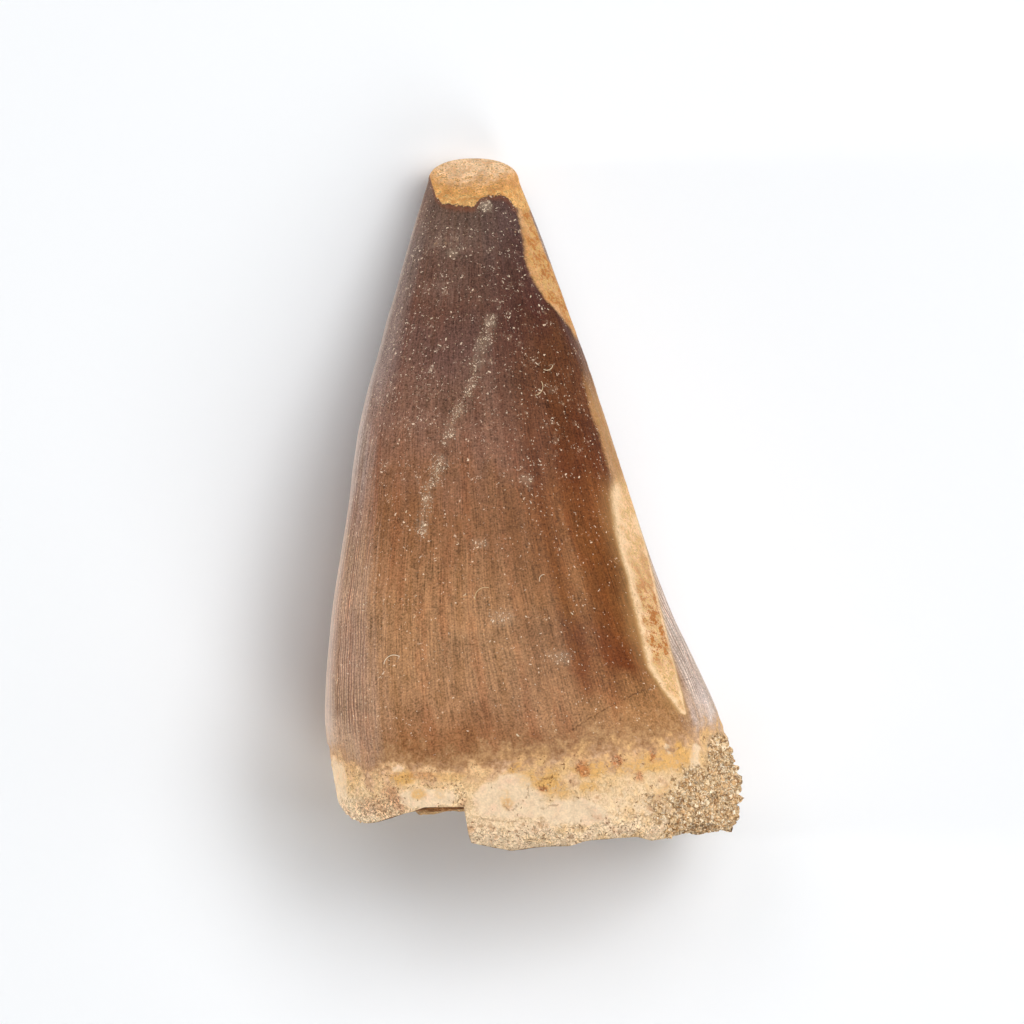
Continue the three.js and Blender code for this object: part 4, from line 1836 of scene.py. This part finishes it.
class ScatterTree:
    """The geometry nodes that strew grains over a surface."""

    def __init__(self) -> None:
        """Builds the node group."""
        self.tree = bpy.data.node_groups.new("Strew grains", "GeometryNodeTree")
        self.sockets: dict[str, str] = {}
        kinds = {"Geometry": "Geometry", "Measure": "String", "Density": "Float", "Smallest": "Float",
                 "Largest": "Float", "Sunk": "Float", "Seed": "Int", "Shapes": "Collection",
                 "Finish": "Material"}
        for name, kind in kinds.items():
            socket = self.tree.interface.new_socket(name, in_out="INPUT", socket_type=f"NodeSocket{kind}")
            self.sockets[name] = socket.identifier
        self.tree.interface.new_socket("Geometry", in_out="OUTPUT", socket_type="NodeSocketGeometry")
        self.join()

    def join(self) -> None:
        """Adds the group's nodes and joins them up."""
        graph = Graph(self.tree)
        source = graph.sources()
        # One draw for the size, three for the turn, one for the shape and one for the tint.
        draws = [
            graph.get("FunctionNodeRandomValue", {2: 0.0, 3: most, "Seed": source["Seed"] + float(step)}, 1,
                      data_type="FLOAT")
            for step, most in enumerate((1.0, TURN, TURN, TURN, 50.0, 1.0), 1)
        ]
        measure = graph.get("GeometryNodeInputNamedAttribute", {"Name": source["Measure"]},
                            data_type="FLOAT")
        points = graph.put("GeometryNodeDistributePointsOnFaces", {
            "Mesh": source["Geometry"], "Density": measure * source["Density"], "Seed": source["Seed"],
        })
        radius = source["Smallest"] + (source["Largest"] - source["Smallest"]) * draws[0] ** 3.0
        normal = Wire(graph, points.outputs["Normal"])
        offset = graph.get("ShaderNodeVectorMath", {0: normal, "Scale": radius * source["Sunk"] * -1.0},
                           operation="SCALE")
        placed = graph.get("GeometryNodeSetPosition", {0: Wire(graph, points.outputs[0]), "Offset": offset})
        shapes = graph.get("GeometryNodeCollectionInfo", {
            "Collection": source["Shapes"], "Separate Children": True, "Reset Children": True,
        })
        grains = graph.get("GeometryNodeInstanceOnPoints", {
            "Points": placed, "Instance": shapes, "Pick Instance": True,
            "Instance Index": graph.maths("FLOOR", draws[4]), "Scale": radius,
            "Rotation": graph.get("ShaderNodeCombineXYZ", dict(enumerate(draws[1:4]))),
        })
        tinted = graph.get("GeometryNodeStoreNamedAttribute", {
            "Geometry": grains, "Name": "tint", "Value": draws[5],
        }, data_type="FLOAT", domain="INSTANCE")
        realized = graph.get("GeometryNodeRealizeInstances", {0: tinted})
        finished = graph.get("GeometryNodeSetMaterial", {0: realized, "Material": source["Finish"]})
        graph.put("NodeGroupOutput", {0: finished})


@dataclass(frozen=True)
class Scatter:
    """One kind of grain strewn over the tooth. Sizes are radii in millimetres."""

    name: str
    measure: str
    per_square_mm: float
    smallest: float
    largest: float
    sunk: float
    seed: int
    subdivisions: int

    def build(self, strewer: ScatterTree, surface: bpy.types.Mesh,
              finish: bpy.types.Material) -> bpy.types.Object:
        """Strews the grains and keeps them as a plain mesh.

        Args:
            strewer: The geometry nodes.
            surface: What the grains lie on.
            finish: The grains' material.

        Returns:
            The grains, as one object.
        """
        shapes = GrainShapes(self.seed, self.subdivisions).build()
        carrier = show("Grain carrier", surface)
        nodes = carrier.modifiers.new("Strew", "NODES")
        nodes.node_group = strewer.tree
        settings = {
            "Measure": self.measure, "Density": self.per_square_mm / MM**2, "Smallest": self.smallest * MM,
            "Largest": self.largest * MM, "Sunk": self.sunk, "Seed": self.seed, "Shapes": shapes,
            "Finish": finish,
        }
        for name, value in settings.items():
            nodes[strewer.sockets[name]] = value
        ready = carrier.evaluated_get(bpy.context.evaluated_depsgraph_get())
        mesh = bpy.data.meshes.new_from_object(ready)
        mesh.name = self.name
        carrier.modifiers.remove(nodes)
        bpy.data.objects.remove(carrier)
        for shape in list(shapes.objects):
            bpy.data.meshes.remove(shape.data)
        bpy.data.collections.remove(shapes)
        return show(self.name, mesh)


@dataclass(frozen=True)
class Lint:
    """Short curled fibres that lie on the enamel. Each is x, y, turn and length in millimetres."""

    fibres: tuple[tuple[float, float, float, float], ...] = (
        (-3.5, -5.8, 95.0, 1.4), (0.5, 7.4, -60.0, 1.2), (1.2, 8.4, -100.0, 0.8), (-9.0, -9.7, 80.0, 1.35),
        (0.4, -4.7, 110.0, 0.65),
    )
    radius: float = 0.02
    bend: float = -2.2
    steps: int = 14
    sides: int = 6
    drop_from: float = 50.0

    def path(self, fibre: tuple[float, float, float, float], tree: BVHTree) -> np.ndarray:
        """Lays one fibre along the surface.

        Args:
            fibre: Its place, turn and length.
            tree: The surface.

        Returns:
            Points along it, in metres.
        """
        x, y, turn, length = fibre
        angle = math.radians(turn)
        points = []
        for step in range(self.steps):
            hit = tree.ray_cast(Vector((x * MM, y * MM, self.drop_from * MM)), Vector((0.0, 0.0, -1.0)))[0]
            lift = self.radius * (0.6 + 1.6 * math.sin(math.pi * step / (self.steps - 1)))
            points.append((hit.x, hit.y, hit.z + lift * MM))
            x += math.cos(angle) * length / self.steps
            y += math.sin(angle) * length / self.steps
            angle += self.bend / self.steps
        return np.array(points)

    def build(self, tooth: bpy.types.Object, finish: bpy.types.Material) -> bpy.types.Object:
        """Builds all the fibres as one object of thin closed tubes.

        Args:
            tooth: The tooth that they lie on.
            finish: Their material.

        Returns:
            The fibres.
        """
        tree = BVHTree.FromObject(tooth, bpy.context.evaluated_depsgraph_get())
        points: list[tuple[float, float, float]] = []
        faces: list[tuple[int, ...]] = []
        for fibre in self.fibres:
            path = self.path(fibre, tree)
            ahead = np.gradient(path, axis=0)
            ahead /= np.linalg.norm(ahead, axis=1, keepdims=True)
            side = np.cross(ahead, np.array([0.0, 0.0, 1.0]))
            side /= np.linalg.norm(side, axis=1, keepdims=True)
            above = np.cross(side, ahead)
            first = len(points)
            for number in range(self.sides):
                turn = TURN * number / self.sides
                ring = path + self.radius * MM * (side * math.cos(turn) + above * math.sin(turn))
                points.extend(map(tuple, ring.tolist()))
            for number in range(self.sides):
                here = first + number * self.steps
                there = first + (number + 1) % self.sides * self.steps
                for step in range(self.steps - 1):
                    faces.append((here + step, here + step + 1, there + step + 1, there + step))
            starts = [first + number * self.steps for number in range(self.sides)]
            faces.append(tuple(starts))
            faces.append(tuple(start + self.steps - 1 for start in reversed(starts)))
        mesh = bpy.data.meshes.new("lint_fibres")
        mesh.from_pydata(points, [], faces)
        mesh.materials.append(finish)
        tint = mesh.attributes.new("tint", "FLOAT", "POINT")
        tint.data.foreach_set("value", np.linspace(0.0, 1.0, len(points)))
        mesh.update()
        return show("lint_fibres", mesh)


@dataclass(frozen=True)
class Lamp:
    """A round soft light that faces the tooth. Angles are in degrees, from +X and from the floor.

    A lamp lower than lowest_reflected isn't mirrored, as it would draw a white rim on the tooth.
    """

    azimuth: float
    elevation: float
    watts: float
    away: float = 1.0
    size: float = 0.45
    lowest_reflected: float = 10.0
    aim: tuple[float, float, float] = (0.0, 0.0, 0.005)

    def build(self, name: str) -> bpy.types.Object:
        """Hangs the light.

        Args:
            name: The light's name.

        Returns:
            The light.
        """
        lamp = bpy.data.lights.new(name, "AREA")
        lamp.shape = "DISK"
        lamp.size = self.size
        lamp.energy = self.watts
        light = show(name, lamp)
        turn = math.radians(self.azimuth)
        rise = math.radians(self.elevation)
        flat = self.away * math.cos(rise)
        light.location = (flat * math.cos(turn), flat * math.sin(turn), self.away * math.sin(rise))
        facing = Vector(self.aim) - light.location
        light.rotation_euler = facing.to_track_quat("-Z", "Y").to_euler()
        light.visible_camera = False
        light.visible_glossy = self.elevation > self.lowest_reflected
        return light


@dataclass(frozen=True)
class Studio:
    """A white floor, soft lights all round that are strongest high on the right, and the camera."""

    floor_half_width: float = 1.5
    floor_colour: tuple[float, float, float, float] = (0.924, 0.942, 0.962, 1.0)
    lamps: tuple[Lamp, ...] = (
        Lamp(30.0, 55.0, 3.55), Lamp(300.0, 35.0, 2.45), Lamp(60.0, 75.0, 1.34), Lamp(0.0, 55.0, 1.75),
        Lamp(60.0, 55.0, 1.65), Lamp(120.0, 55.0, 1.2), Lamp(0.0, 35.0, 0.94), Lamp(240.0, 55.0, 0.35),
        Lamp(240.0, 35.0, 0.3), Lamp(150.0, 55.0, 0.15), Lamp(180.0, 3.5, 15.0, 1.5, 0.12),
    )
    camera_place: tuple[float, float, float] = (-0.001273, -0.000515, 1.5)
    lens: float = 865.5

    def build(self) -> None:
        """Builds everything round the tooth."""
        scene = bpy.context.scene
        scene.view_settings.view_transform = "Standard"
        half = self.floor_half_width
        mesh = bpy.data.meshes.new("floor")
        corners = [(-half, -half, 0.0), (half, -half, 0.0), (half, half, 0.0), (-half, half, 0.0)]
        mesh.from_pydata(corners, [], [(0, 1, 2, 3)])
        paper = bpy.data.materials.new("White paper")
        Graph.opened(paper).surface({
            "Base Color": self.floor_colour, "Roughness": 1.0, "Specular IOR Level": 0.0,
        })
        mesh.materials.append(paper)
        floor = show("floor", mesh)
        lights = [lamp.build(f"soft_light_{number}") for number, lamp in enumerate(self.lamps, 1)]

        world = bpy.data.worlds.new("Studio")
        graph = Graph.opened(world)
        seen = graph.get("ShaderNodeLightPath", {}, "Is Camera Ray")
        background = graph.get("ShaderNodeBackground", {"Color": (1.0, 1.0, 1.0, 1.0), "Strength": seen})
        graph.put("ShaderNodeOutputWorld", {0: background})
        scene.world = world

        lens = bpy.data.cameras.new("Camera")
        lens.lens = self.lens
        lens.sensor_width = 36.0
        lens.clip_start = 0.01
        lens.clip_end = 10.0
        camera = show("Camera", lens)
        camera.location = self.camera_place
        scene.camera = camera


@dataclass
class FossilTooth:
    """The whole tooth: its body, then the grains, dust and lint on it."""

    surface: ToothSurface = ToothSurface()
    grit: Scatter = Scatter("grit_grains", "grit", 6.0, 0.07, 0.22, 0.6, 21, 2)
    sand: Scatter = Scatter("fine_sand", "grit", 45.0, 0.03, 0.10, 0.4, 22, 1)
    dust: Scatter = Scatter("settled_dust", "settled", 7.0, 0.015, 0.038, 0.3, 23, 1)
    lint: Lint = Lint()
    pieces: list[bpy.types.Object] = field(default_factory=list)

    def keep(self, piece: bpy.types.Object) -> bpy.types.Object:
        """Gives a finished piece to the tooth's body and reports it.

        Args:
            piece: The finished piece.

        Returns:
            The same piece.
        """
        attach(piece, "root")
        self.pieces.append(piece)
        triangles = sum(len(polygon.vertices) - 2 for polygon in piece.data.polygons)
        LOG.info("%s: %d triangles", piece.name, triangles)
        return piece

    def build(self) -> None:
        """Shapes the body."""
        mesh = self.surface.build().to_mesh("tooth_body")
        body = self.keep(show("tooth_body", mesh))
        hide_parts("tooth")

    def dress(self) -> None:
        """Gives the body its material and strews the small things over it."""
        body = self.pieces[0]
        body.data.materials.append(FossilMaterial().build())
        bpy.context.view_layer.update()
        strewer = ScatterTree()
        sand = GrainFinish("Sand grains", CrustFinish.tints, 0.75).build()
        powder = GrainFinish("Dust and lint", (
            (0.0, (206, 176, 128)), (0.4, (226, 206, 168)), (0.8, (240, 228, 204)), (1.0, (196, 150, 96)),
        )).build()
        for scatter, finish in ((self.grit, sand), (self.sand, sand), (self.dust, powder)):
            self.keep(scatter.build(strewer, body.data, finish))
        self.keep(self.lint.build(body, powder))


def main() -> None:
    """Builds the tooth and the studio round it."""
    logging.basicConfig(level=logging.INFO, format="%(name)s %(message)s")
    tooth = FossilTooth()
    tooth.build()
    tooth.dress()
    Studio().build()


if __name__ == "__main__":
    main()
